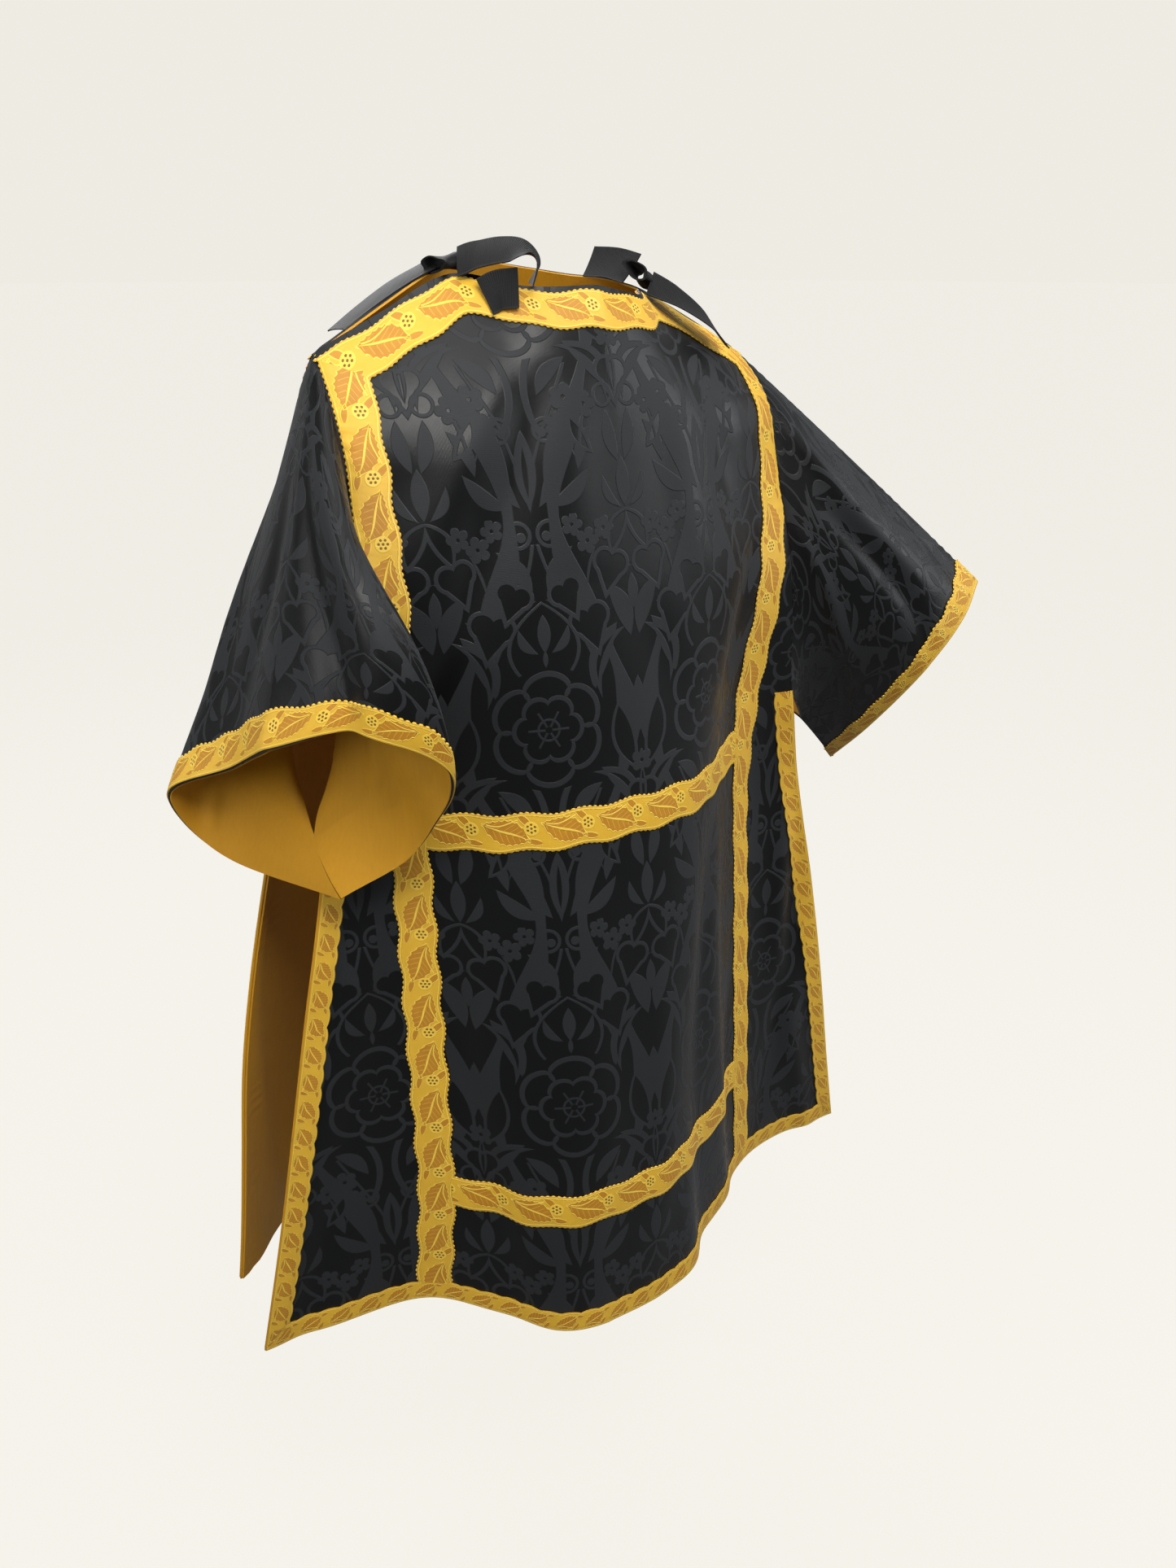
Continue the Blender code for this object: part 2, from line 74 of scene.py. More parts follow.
# How level lines of the hanging cloth run.  Rows: down, depth and height at the centre line,
# rise of the cloth at the stripe and at the side edge, then how far the line turns from
# straight across, in degrees, at each of the cloth measures across.
TURN_ACROSS = (0.00, 0.05, 0.09, 0.14, 0.19, 0.24, 0.3, 0.37, 0.45)
RISE_ACROSS = (0.00, 0.13, 0.25, 0.45)
FRONT_ROWS_LEFT = (
    (0.155, -0.123, -0.175, 0, 0, 0, 5, 10, 16, 22, 25, 20, 20, 20),
    (0.3, -0.147, -0.318, 0, 0, 0, 4, 12, 22, 28, 8, -10, -10, -10),
    (0.45, -0.162, -0.466, 0, 0, 0, 8, 24, 38, 36, 8, -18, -20, -20),
    (0.55, -0.171, -0.564, 0, 0, 0, 12, 28, 36, 36, 24, -14, -18, -18),
    (0.7, -0.183, -0.712, 0.002, 0, 0, 16, 32, 34, 34, 28, -2, -12, -12),
    (0.925, -0.197, -0.937, 0.006, 0.002, 0, 20, 33, 34, 34, 28, 8, 0, -4),
    (1.08, -0.203, -1.09, 0.014, 0.006, 0, 20, 35, 35, 33, 30, 14, 2, -4),
)
FRONT_ROWS_RIGHT = (
    (0.155, -0.123, -0.175, 0, 0, 0, 5, 10, 16, 22, 27, 30, 30, 30),
    (0.3, -0.147, -0.318, 0.002, 0.002, 0, 4, 9, 15, 21, 26, 30, 30, 30),
    (0.45, -0.162, -0.466, 0.004, 0.004, 0, 6, 16, 28, 34, 38, 22, 20, 20),
    (0.55, -0.171, -0.564, 0.006, 0.006, 0, 5, 14, 30, 40, 40, 10, 4, 4),
    (0.7, -0.183, -0.712, 0.012, 0.01, 0, 3, 13, 34, 44, 41, 10, 8, 8),
    (0.925, -0.197, -0.937, 0.022, 0.012, 0, 0, 10, 36, 50, 45, 16, 13, 13),
    (1.08, -0.203, -1.09, 0.032, 0.01, 0, 0, 12, 40, 52, 46, 18, 16, 16),
)
BACK_ROWS = (
    (0.155, 0.118, -0.16, 0, 0, 0, 6, 12, 18, 24, 28, 30, 30, 30),
    (0.3, 0.146, -0.302, 0, 0, 0, 4, 11, 18, 24, 30, 32, 32, 32),
    (0.45, 0.16, -0.451, 0, 0, 0, 0, 14, 32, 32, 28, 36, 38, 38),
    (0.55, 0.168, -0.55, 0, 0, 0, -4, 14, 38, 32, 18, 30, 42, 42),
    (0.7, 0.182, -0.698, 0, 0, 0, -8, 16, 42, 26, 6, 26, 42, 40),
    (0.925, 0.212, -0.92, 0.004, 0.002, 0, -18, 27, 50, 16, -12, 31, 47, 31),
    (1.08, 0.232, -1.073, 0.008, 0.004, 0, -24, 33, 53, 12, -17, 37, 50, 25),
)

# Top edge of a panel.  Rows: across, sideways place, depth, height.
FRONT_TOP = (
    (0, 0, -0.086, -0.026), (0.07, 0.066, -0.064, -0.026),
    (0.13, 0.108, -0.012, -0.016), (0.2, 0.182, -0.007, -0.048),
    (0.262, 0.247, 0, -0.08),
)
BACK_TOP = (
    (0, 0, 0.082, -0.01), (0.07, 0.066, 0.064, -0.01),
    (0.13, 0.11, 0.016, -0.01), (0.2, 0.183, 0.007, -0.046),
    (0.262, 0.247, 0, -0.08),
)
LOW_SHOULDER = 0.02
YOKE_LEAVE = (1.0, 1.35, 0.8)
YOKE_STEP = 0.01

# Cuff of a sleeve, from the top seam to the underarm seam.  Rows: share of the way round the
# half, sideways place, depth, height, then how far the cloth swells half way along the sleeve.
CUFFS = {
    ("front", -1): (
        (0, -0.36, -0.09, -0.4, -0.002, -0.004, 0), (0.22, -0.305, -0.16, -0.376, 0, -0.038, 0.01),
        (0.42, -0.243, -0.2, -0.409, 0, -0.048, 0.025),
        (0.72, -0.235, -0.13, -0.51, 0.005, -0.02, 0), (1.00, -0.298, -0.096, -0.556, -0.012, 0, 0),
    ),
    ("back", -1): (
        (0, -0.36, -0.09, -0.4, -0.002, -0.004, 0), (0.15, -0.365, -0.035, -0.43, -0.005, 0.01, 0),
        (0.5, -0.4, 0.05, -0.48, -0.005, 0.015, 0), (0.8, -0.348, 0.026, -0.55, -0.01, 0.01, 0),
        (1.00, -0.298, -0.096, -0.556, -0.012, 0, 0),
    ),
    ("front", 1): (
        (0, 0.52, -0.13, -0.365, 0, -0.004, 0), (0.25, 0.462, -0.16, -0.395, 0, -0.016, 0),
        (0.5, 0.425, -0.145, -0.45, 0, -0.02, 0), (0.78, 0.415, -0.07, -0.54, 0, -0.01, 0),
        (1.00, 0.43, 0, -0.6, 0.006, 0, 0),
    ),
    ("back", 1): (
        (0, 0.52, -0.13, -0.365, 0, -0.004, 0), (0.25, 0.535, -0.06, -0.4, 0, 0.014, 0),
        (0.5, 0.525, 0.005, -0.46, 0, 0.02, 0), (0.78, 0.48, 0.03, -0.55, 0, 0.015, 0),
        (1.00, 0.43, 0, -0.6, 0.006, 0, 0),
    ),
}
UNDERARM_VENT = 0.55
FULLNESS = {("front", -1): 0.125}
CUFF_GALLOON_FROM = 0.895
SLEEVE_LENGTH = 0.39
ARMHOLE_LENGTH = 0.43
SHARE_STEP = 0.01

# Ribbons.  Rows: sideways place, depth, height, then the way the ribbon's width points.
RIBBONS = {
    "ribbon_right_bow": (
        (-0.062, -0.072, -0.0256, 0.45, 0.8, 0.1), (-0.058, -0.075, -0.0116, 0.5, 0.8, 0),
        (-0.058, -0.07, -0.0016, 0.45, 0.85, 0.2), (-0.066, -0.058, 0.0044, 0.2, 0.85, 0.45),
        (-0.078, -0.044, 0.0044, 0, 0.9, 0.4), (-0.092, -0.028, 0.0004, -0.2, 0.9, 0.2),
        (-0.104, -0.014, -0.0056, -0.2, 0.9, 0.2),
    ),
    "ribbon_right_short_tail": (
        (-0.098, -0.05, -0.0355, 0.1, 0.35, 0.9), (-0.088, -0.057, -0.0295, 0.1, 0.35, 0.9),
        (-0.075, -0.07, -0.0275, 0.1, 0.35, 0.9),
    ),
    "ribbon_right_long_tail": (
        (-0.112, 0.022, -0.0088, 0, 0.96, 0), (-0.144, 0.025, -0.0238, 0, 0.96, 0),
        (-0.178, 0.025, -0.0428, 0, 0.96, -0.05), (-0.21, 0.024, -0.0628, 0, 0.96, -0.1),
    ),
    "ribbon_left_bow": (
        (0.11, -0.024, -0.0295, 0.4, 0.6, 0.6), (0.134, -0.04, -0.0435, 0.3, 0.75, 0.55),
        (0.16, -0.052, -0.0635, 0.2, 0.8, 0.5), (0.182, -0.055, -0.0865, 0.1, 0.8, 0.5),
    ),
    "ribbon_left_strap": (
        (0.09, 0.05, -0.0106, 0.6, 0.1, 0.7), (0.101, 0.026, -0.0116, 0.6, 0.1, 0.7),
        (0.108, 0.002, -0.0166, 0.6, 0.1, 0.7),
    ),
}

# Soft creases and ridges, in millimetres.  Rows: across and down where one starts, across and
# down where it ends, half of its width, and its height, below 0 in a trough.
PANEL_CREASES = {
    "front": (
        (-118, 40, -212, 300, 24, 5.5), (-75, 60, -150, 330, 22, -4.5),
        (-160, 180, -236, 450, 18, -5), (-30, 80, -60, 260, 26, 2.2),
        (108, 50, 196, 260, 20, -4.5), (80, 80, 120, 330, 24, 3),
        (228, 260, 150, 430, 18, -3), (20, 280, 60, 470, 34, -2.4),
        (112, 540, 132, 1085, 24, -5.2), (168, 560, 186, 1085, 24, 4),
        (-50, 560, -72, 980, 34, 3.4), (30, 640, 34, 1085, 28, -3),
        (-178, 570, -196, 1085, 24, -4.2), (-290, 520, -330, 940, 20, 3.6),
        (-340, 640, -392, 1085, 18, -3.4), (300, 480, 322, 1060, 16, -5),
        (345, 560, 380, 1085, 16, 4), (222, 700, 230, 1085, 18, -2.2),
    ),
    "back": (
        (-116, 30, -190, 280, 24, 5), (-60, 60, -100, 340, 26, -3.4),
        (110, 40, 205, 310, 22, -4.6), (72, 70, 130, 290, 24, 3.6),
        (0, 120, -20, 420, 30, -2.4), (236, 240, 170, 440, 18, 3.2),
        (-232, 260, -160, 430, 17, -3.6), (50, 540, 66, 1085, 20, -5),
        (-66, 600, -94, 1085, 18, -4.6), (-20, 620, -14, 1000, 28, 3.4),
        (170, 560, 196, 1085, 17, 4.6), (-190, 520, -220, 1060, 19, 4.2),
        (300, 500, 340, 1085, 16, -4.2), (-310, 560, -360, 1085, 18, -4),
    ),
}

# The same on the sleeves, out from the armhole and down from the top seam.
SLEEVE_CREASES = {
    ("front", -1): (
        (30, 30, 395, 62, 13, -6.4), (60, 60, 395, 105, 22, 4.4),
        (60, 112, 330, 176, 24, -2.4), (60, 160, 330, 255, 26, 3),
        (0, 230, 260, 330, 18, -5), (150, 300, 385, 350, 16, 3),
        (120, 262, 395, 280, 16, -3),
    ),
    ("back", -1): (
        (10, 20, 360, 50, 14, -4), (0, 90, 320, 150, 20, 4.6),
        (50, 170, 390, 230, 18, -5), (0, 300, 240, 340, 18, 4),
        (220, 280, 390, 330, 13, -3),
    ),
    ("front", 1): (
        (10, 20, 370, 30, 13, -4), (0, 80, 340, 120, 19, 5),
        (60, 140, 390, 210, 18, -4.8), (0, 220, 280, 300, 20, 4),
        (160, 320, 380, 380, 14, -3),
    ),
    ("back", 1): (
        (10, 30, 350, 50, 15, 4.2), (20, 110, 330, 170, 18, -5),
        (0, 200, 390, 260, 20, 4.4), (80, 300, 330, 370, 16, -3.4),
    ),
}
PUCKER_PITCH = 0.013
PUCKER_REACH = 0.014
PUCKER_HEIGHT = 0.0006
SEAM_DIP = 0.0007
SEAM_HOLD = 0.035
CREASE_DEPTH = 1.35
CREASE_BEND = 0.06
DIP_REACH = 0.005
LINING_SEAM = 0.022
LINING_PUCKER = 0.001
LINING_EASE = 0.0004
LINING_CUFF_HOLD = 0.12
SEAM_ROOM = 0.0022
SEAM_ROOM_REACH = 0.025
PANEL_LINING_ROOM = 0.0012
MEETING_GAP = 0.0001

# Spacing of the meshes.  CROSS is the places across a galloon, from edge to edge.
CLOTH_STEP = 0.0065
LINING_STEP = 0.0105
LINING_ROW_STEP = 0.0045
SLEEVE_LINING_STEP = 0.0075
GALLOON_STEP = 0.003
CROSS = np.linspace(-1.0, 1.0, 9)
LEVEL_STEPS = 24
SLOPE_STEP = 0.003
ARMHOLE_POINTS = 160

# The galloons: their shape across, figures, margins, picots and stitches
LEAF_REPEAT = 0.057
SCALLOP_REPEAT = 0.022
WIDE_WAVE = 0.0017
SCALLOP_RISE = 0.0024
CROWN = 0.0004 * (1 - CROSS ** 4)
HALF_WIDE = WIDE_GALLOON / 2
HEM_LAP = 0.001
BAND_TUCK = 0.002
BORDER_COVER = 0.94
MITRE_CALM = 0.05
CORNER_CALM = 0.12
PICOT_PITCH = 0.0058
PICOT_SIZE = (0.005, 0.0038, 0.0011)
STITCH_PITCH = 0.005
STITCH_SIZE = (0.003, 0.0006, 0.0005)
STITCH_INSET = 0.003
NARROW_STITCH_INSET = 0.0022
PICOT_INSET = 0.0004
PICOT_DROP = 0.0006
STITCH_LIFT = 0.0001
CUFF_MARGIN = 0.004
CUFF_FULLNESS = 1.15
EDGE_MARGIN = 0.0025
PIPING_RADIUS = 0.0014
PIPING_SINK = 0.0009
KNOT_REACH = 0.015
KNOT_RISE = 0.007
KNOT_WIDTH = 0.026
KNOT_POINTS = 28
KNOTS = {
    "right_knot": ((-0.108, 0.003, -0.0075), (-0.15, 0.97, -0.05), (0.95, 0.12, 0.1)),
    "left_knot": ((0.11, -0.011, -0.0225), (0.12, -0.9, -0.45), (0.8, 0.25, -0.45)),
}

# The damask's repeat, and where one rosette sits
DAMASK_WIDTH = 0.2
DAMASK_HEIGHT = 0.4
ROSETTE_ACROSS = -0.1
ROSETTE_DOWN = 0.402

CAMERA_PLACE = (-0.834, -1.22, 0.03)
CAMERA_TILT = 68.9
CAMERA_TURN = -36.0
CAMERA_LENS = 33.63
MIDDLE = (0.05, -0.05, -0.5)
# Rows: name, place, what it points at, size, power, colour.
LIGHTS = (
    ("key", (-0.5, -1.6, 1.5), (0.0, -0.1, -0.35), 1.2, 52.0, (1.0, 0.985, 0.96)),
    ("fill", (2.3, -1.5, 0.5), MIDDLE, 1.8, 34.0, (0.96, 0.98, 1.0)),
    ("side", (-2.4, -0.5, 0.5), MIDDLE, 1.6, 23.0, (1.0, 0.99, 0.97)),
    ("back", (0.6, 2.3, 1.3), MIDDLE, 2.0, 60.0, (1.0, 1.0, 1.0)),
    ("above", (0.0, 0.0, 2.2), MIDDLE, 1.8, 30.0, (1.0, 1.0, 1.0)),
)
FLOOR_HEIGHT = -1.45
BACKDROP = (0.896, 0.871, 0.807)
FLOOR_GLOW = 0.955
FLOOR_SHADE = 0.05
PANELS = ("front", "back")
SIDES = {-1: "right", 1: "left"}


def smooth_read(x, table_x, table_y):
    """Value at x of the smooth curve through a table, level with its end rows outside it."""
    xs = np.asarray(table_x, float)
    ys = np.asarray(table_y, float)
    x = np.clip(np.asarray(x, float), xs[0], xs[-1])
    i = np.clip(np.searchsorted(xs, x, side="right") - 1, 0, len(xs) - 2)
    slopes = np.gradient(ys, xs, axis=0)
    step = xs[i + 1] - xs[i]
    t = (x - xs[i]) / step
    if ys.ndim > 1:
        t = t[..., None]
        step = step[..., None]
    return curve_between(t, ys[i], step * slopes[i], ys[i + 1], step * slopes[i + 1])


def curve_between(t, start, leave, end, arrive):
    """The cubic from a start to an end, with the slopes that it leaves and arrives with."""
    return ((1 + 2 * t) * (1 - t) ** 2 * start + t * (1 - t) ** 2 * leave
            + t * t * (3 - 2 * t) * end + t * t * (t - 1) * arrive)


def unit(vectors):
    return vectors / np.maximum(np.linalg.norm(vectors, axis=-1, keepdims=True), 1e-12)


def edge_across(down):
    return smooth_read(down, EDGE_DOWN, EDGE_ACROSS)


def stripe_across(down):
    return np.interp(down, STRIPE_DOWN, STRIPE_ACROSS)


def under_top(across, distance=0.0):
    """Cloth measure down of the line that runs at a distance below the top edge."""
    reach = np.abs(across)
    top = np.interp(reach, (0.0, NECK_ACROSS, SHOULDER_ACROSS), (0.0, NECK_RISE, SHOULDER_DROP))
    slope = math.atan2(SHOULDER_DROP - NECK_RISE, SHOULDER_ACROSS - NECK_ACROSS)
    bend = NECK_ACROSS - NECK_BEND, NECK_ACROSS + NECK_BEND
    lean = np.interp(reach, bend, (1.0, math.cos(slope)))
    return top + distance / lean


def level_points(rows, across, down):
    """Points of the hanging cloth below the yoke."""
    table = np.array(rows, float)
    read = smooth_read(down, table[:, 0], table[:, 1:])
    depth, height, stripe_rise, edge_rise = read[:, :4].T
    reach = np.abs(across)
    middles = (np.arange(LEVEL_STEPS) + 0.5) / LEVEL_STEPS * reach[:, None]
    weights = smooth_read(middles, TURN_ACROSS, np.eye(len(TURN_ACROSS)))
    angles = np.radians(np.einsum("nkj,nj->nk", weights, read[:, 4:]))
    sideways = np.cos(angles).mean(axis=1) * reach
    inward = np.sin(angles).mean(axis=1) * reach
    lifts = smooth_read(reach, RISE_ACROSS, np.eye(4))
    rise = lifts[:, 1] * stripe_rise * 0.3 + lifts[:, 2] * stripe_rise + lifts[:, 3] * edge_rise
    return np.stack([np.copysign(sideways, across), depth - np.copysign(inward, depth),
                     height + rise], axis=-1)


def side_points(rows, top, across, down):
    """Points of one side of a panel's outer face, before its creases."""
    places = level_points(rows, across, np.maximum(down, YOKE))
    high = down < YOKE
    if not high.any():
        return places
    a, d = across[high], down[high]
    table = np.array(top, float)
    start = smooth_read(np.abs(a), table[:, 0], table[:, 1:])
    start[:, 0] = np.copysign(start[:, 0], a)
    start[:, 2] -= LOW_SHOULDER * np.clip(a / NECK_ACROSS, 0.0, 1.0)
    end = places[high]
    below = level_points(rows, a, np.full(len(a), YOKE + YOKE_STEP))
    span = (YOKE - under_top(a))[:, None]
    t = (d - under_top(a))[:, None] / span
    leave = (end - start) * np.array(YOKE_LEAVE)
    places[high] = curve_between(t, start, leave, end, (below - end) / YOKE_STEP * span)
    return places


def panel_points(panel, across, down):
    """Points of a panel's outer face, before its creases."""
    across, down = np.broadcast_arrays(np.asarray(across, float), np.asarray(down, float))
    places = np.empty(across.shape + (3,))
    for rows, here in ((FRONT_ROWS_LEFT, across >= 0), (FRONT_ROWS_RIGHT, across < 0)):
        if panel == "back":
            rows = BACK_ROWS
        top = FRONT_TOP if panel == "front" else BACK_TOP
        if here.any():
            places[here] = side_points(rows, top, across[here], down[here])
    return places


def crease_height(rows, u, v, edge_u, edge_v):
    """Height of the cloth's soft creases at two cloth measures, open where they pass an edge."""
    height = np.zeros(np.shape(u))
    for start_u, start_v, end_u, end_v, half, rise in np.array(rows) / 1000:
        run_u, run_v = end_u - start_u, end_v - start_v
        length = math.hypot(run_u, run_v)
        along = ((u - start_u) * run_u + (v - start_v) * run_v) / length ** 2
        bend = CREASE_BEND * length * np.sin(3.3 * along + 40 * start_v)
        aside = ((u - start_u) * run_v - (v - start_v) * run_u) / length - bend
        open_end = end_u > edge_u or end_v > edge_v
        taper = np.sin(np.clip(along, 0.0, 0.5 if open_end else 1.0) * math.pi) ** 0.8
        widen = half * (0.8 + 0.5 * np.clip(along, 0.0, 1.0))
        height = height + rise * taper * np.exp(-(aside / widen) ** 2)
    return height


def seam_height(distance, along):
    """Dip and puckers of cloth at a distance from a sewn seam."""
    near = np.exp(-(distance / PUCKER_REACH) ** 2)
    wander = 0.35 * np.sin(along * 61.0) + 0.25 * np.sin(along * 23.0)
    ripple = np.sin(along * 2 * math.pi / PUCKER_PITCH + 3 * wander)
    return near * (-SEAM_DIP * np.exp(-(distance / DIP_REACH) ** 2)
                   + PUCKER_HEIGHT * ripple * (0.6 + wander))


def ease(share):
    """A soft step from 0 to 1."""
    t = np.clip(share, 0.0, 1.0)
    return t * t * (3 - 2 * t)


def panel_cloth(panel, across, down):
    """Places of a panel's outer face with its creases, and the directions out of it."""
    across, down = np.broadcast_arrays(np.asarray(across, float), np.asarray(down, float))
    flat = panel_points(panel, across, down)
    along_u = panel_points(panel, across + SLOPE_STEP, down) - panel_points(panel, across - SLOPE_STEP, down)
    above = np.minimum(down, LENGTH - SLOPE_STEP)
    along_v = panel_points(panel, across, above + SLOPE_STEP) - panel_points(panel, across, above)
    out = unit(np.cross(along_u, along_v)) * (-1 if panel == "front" else 1)
    sewn = ease((UNDERARM + SEAM_HOLD - down) / SEAM_HOLD)
    aside = edge_across(down) - np.abs(across)
    free = 1 - sewn * (1 - ease(aside / SEAM_HOLD))
    height = CREASE_DEPTH * crease_height(PANEL_CREASES[panel], across, down, LENGTH, LENGTH) * free
    height = height + sewn * seam_height(aside, down)
    return flat + out * height[..., None], out


def armhole(panel, side):
    """The edge of a panel that a sleeve is sewn to, and the share of its length at each point."""
    downs = np.linspace(SHOULDER_DROP, UNDERARM, ARMHOLE_POINTS)
    line = panel_points(panel, side * edge_across(downs), downs)
    steps = np.linalg.norm(np.diff(line, axis=0), axis=1)
    return line, np.concatenate([[0.0], np.cumsum(steps)]) / steps.sum()


ARMHOLES = {(panel, side): armhole(panel, side) for panel in PANELS for side in SIDES}


def sleeve_points(panel, side, share, along):
    """Points of half a sleeve's outer face, before its creases."""
    line, shares = ARMHOLES[panel, side]
    underarm = (ARMHOLES["front", side][0][-1] + ARMHOLES["back", side][0][-1]) / 2
    table = np.array(CUFFS[panel, side], float)
    share = np.clip(share, 0.0, 1.0)
    start = np.stack([np.interp(share, shares, line[:, axis]) for axis in range(3)], axis=-1)
    cuff = smooth_read(share, table[:, 0], table[:, 1:])
    t = along[..., None]
    places = start * (1 - t) + cuff[..., :3] * t + cuff[..., 3:] * 4 * t * (1 - t)
    vent = np.maximum(0.0, 1 - along / UNDERARM_VENT) - (1 - along)
    places = places + (line[-1] - underarm) * (vent * share ** 3)[..., None]
    fullness = FULLNESS.get((panel, side), 0.0) * along * (1 - along) ** 2
    places[..., 0] += side * fullness * np.sin(np.pi * share ** 0.7)
    return places


def sleeve_cloth(panel, side, share, along):
    """Places of half a sleeve's outer face with its creases, and the directions out of it."""
    share, along = np.broadcast_arrays(np.asarray(share, float), np.asarray(along, float))
    flat = sleeve_points(panel, side, share, along)
    by_share, by_along = (
        sleeve_points(panel, side, share + s, along + a) - sleeve_points(panel, side, share - s, along - a)
        for s, a in ((SHARE_STEP, 0.0), (0.0, SHARE_STEP)))
    turned = 1 if (panel == "front") == (side > 0) else -1
    out = unit(np.cross(by_share, by_along)) * turned
    u, v = along * SLEEVE_LENGTH, share * ARMHOLE_LENGTH
    free = ease(u / SEAM_HOLD) * ease(v / SEAM_HOLD) * ease((ARMHOLE_LENGTH - v) / SEAM_HOLD)
    height = CREASE_DEPTH * crease_height(SLEEVE_CREASES[panel, side], u, v, SLEEVE_LENGTH, LENGTH) * free
    height = height + seam_height(u, v) + seam_height(v, u)
    return flat + out * height[..., None], out


def row_places(step, longest):
    """Even places from 0 to 1 for a length, a step apart at most."""
    return np.linspace(0.0, 1.0, max(2, math.ceil(longest / step) + 1))


def shell_faces(rows, columns, closed):
    """Faces of a closed shell over a grid, as fours of place numbers: outer, inner, border."""
    count = rows * columns
    faces = []
    wide = columns if closed else columns - 1
    for r in range(rows - 1):
        for c in range(wide):
            a, b = r * columns + c, r * columns + (c + 1) % columns
            d, e = a + columns, b + columns
            faces.append((a, b, e, d))
            faces.append((a + count, d + count, e + count, b + count))
    rims = [list(range(columns)) + ([0] if closed else [])]
    rims.append([(rows - 1) * columns + c for c in reversed(rims[0])])
    if not closed:
        rims.append([r * columns for r in range(rows - 1, -1, -1)])
        rims.append([r * columns + columns - 1 for r in range(rows)])
    for rim in rims:
        for a, b in zip(rim, rim[1:]):
            faces.append((b, a, a + count, b + count))
    return faces


def shell(name, outer, inner, measures, material, closed=False):
    """A thin closed shell between two grids of points, its UV map in cloth measures."""
    rows, columns = outer.shape[:2]
    faces = shell_faces(rows, columns, closed)
    points = np.concatenate([outer.reshape(-1, 3), inner.reshape(-1, 3)])
    mesh = bpy.data.meshes.new(name)
    mesh.from_pydata(points.tolist(), [], faces)
    if shell_volume(points, faces) < 0:
        mesh.flip_normals()
    corners = np.empty(len(mesh.loops), int)
    mesh.loops.foreach_get("vertex_index", corners)
    corners %= rows * columns
    spread = measures.reshape(rows, -1, 2)
    flat = spread[:, :columns].reshape(-1, 2)[corners]
    if closed:
        r, c = corners // columns, corners % columns
        starts = np.repeat(np.arange(len(mesh.polygons)), 4)
        last = np.zeros(len(mesh.polygons), bool)
        np.logical_or.at(last, starts, c == columns - 1)
        wrapped = last[starts] & (c == 0)
        flat[wrapped] = spread[r[wrapped], columns]
    mesh.uv_layers.new(name="measures").data.foreach_set("uv", flat.ravel())
    mesh.shade_smooth()
    mesh.set_sharp_from_angle(angle=math.radians(60))
    mesh.materials.append(material)
    return new_piece(name, mesh)


def new_piece(name, data):
    piece = bpy.data.objects.new(name, data)
    bpy.context.scene.collection.objects.link(piece)
    return piece


def plain_mesh(name, guide):
    """What a guide's modifiers or bevel make, as a mesh.  The guide is removed."""
    ready = guide.evaluated_get(bpy.context.evaluated_depsgraph_get())
    mesh = bpy.data.meshes.new_from_object(ready)
    bpy.data.objects.remove(guide, do_unlink=True)
    mesh.name = name
    return mesh


def shell_volume(points, faces):
    """Volume within a closed shell, below 0 where its faces point inwards."""
    corners = points[np.array(faces)]
    a, b, c, d = corners.swapaxes(0, 1)
    return float((a * np.cross(b, c)).sum() + (a * np.cross(c, d)).sum()) / 6


def between(values):
    """A copy of sorted numbers with none too near to the next."""
    return np.array([x for i, x in enumerate(values) if i == 0 or x - values[i - 1] > MEETING_GAP])


def panel_measures(column_step, row_step):
    """Cloth measures of a grid over a whole panel, from its top edge to the hem."""
    top_edge = float(edge_across(SHOULDER_DROP))
    shares = row_places(column_step, 2 * EDGE_ACROSS[-1]) * 2 - 1
    corner = NECK_ACROSS / top_edge
    shares = between(np.sort(np.concatenate([shares, [-corner, corner]])))
    levels = row_places(row_step, LENGTH) * LENGTH
    fade = np.clip(1 - levels / (YOKE + 0.05), 0.0, 1.0)
    edge = edge_across(levels + SHOULDER_DROP * fade)
    across = shares[None, :] * edge[:, None]
    down = levels[:, None] + under_top(across) * fade[:, None]
    return across, down


def make_panel(panel, finish):
    across, down = panel_measures(CLOTH_STEP, CLOTH_STEP)
    places, out = panel_cloth(panel, across, down)
    piece = shell(f"{panel}_damask", places, places - out * CLOTH,
                  np.stack([across, down], axis=-1), finish["damask"])
    across, down = panel_measures(LINING_STEP, LINING_ROW_STEP)
    places, out = panel_cloth(panel, across, down)
    behind = CLOTH + SEAM_GAP
    from_seam = edge_across(down) - LINING_SEAM - np.abs(across)
    pucker = LINING_PUCKER * seam_height(from_seam, down) / PUCKER_HEIGHT
    pucker = np.where(down > UNDERARM, pucker, 0.0)[..., None]
    lining = shell(f"{panel}_lining_cloth", places - out * behind,
                   places - out * (behind + LINING + PANEL_LINING_ROOM + pucker),
                   np.stack([across, down], axis=-1), finish["lining"])
    return piece, lining


def half_sleeve(panel, side, shares, alongs):
    """A grid over half a sleeve, its rows from the armhole to the cuff."""
    share, along = np.broadcast_arrays(shares[None, :], alongs[:, None])
    places, out = sleeve_cloth(panel, side, share, along)
    return places, out, np.stack([share * ARMHOLE_LENGTH, along * SLEEVE_LENGTH], axis=-1)


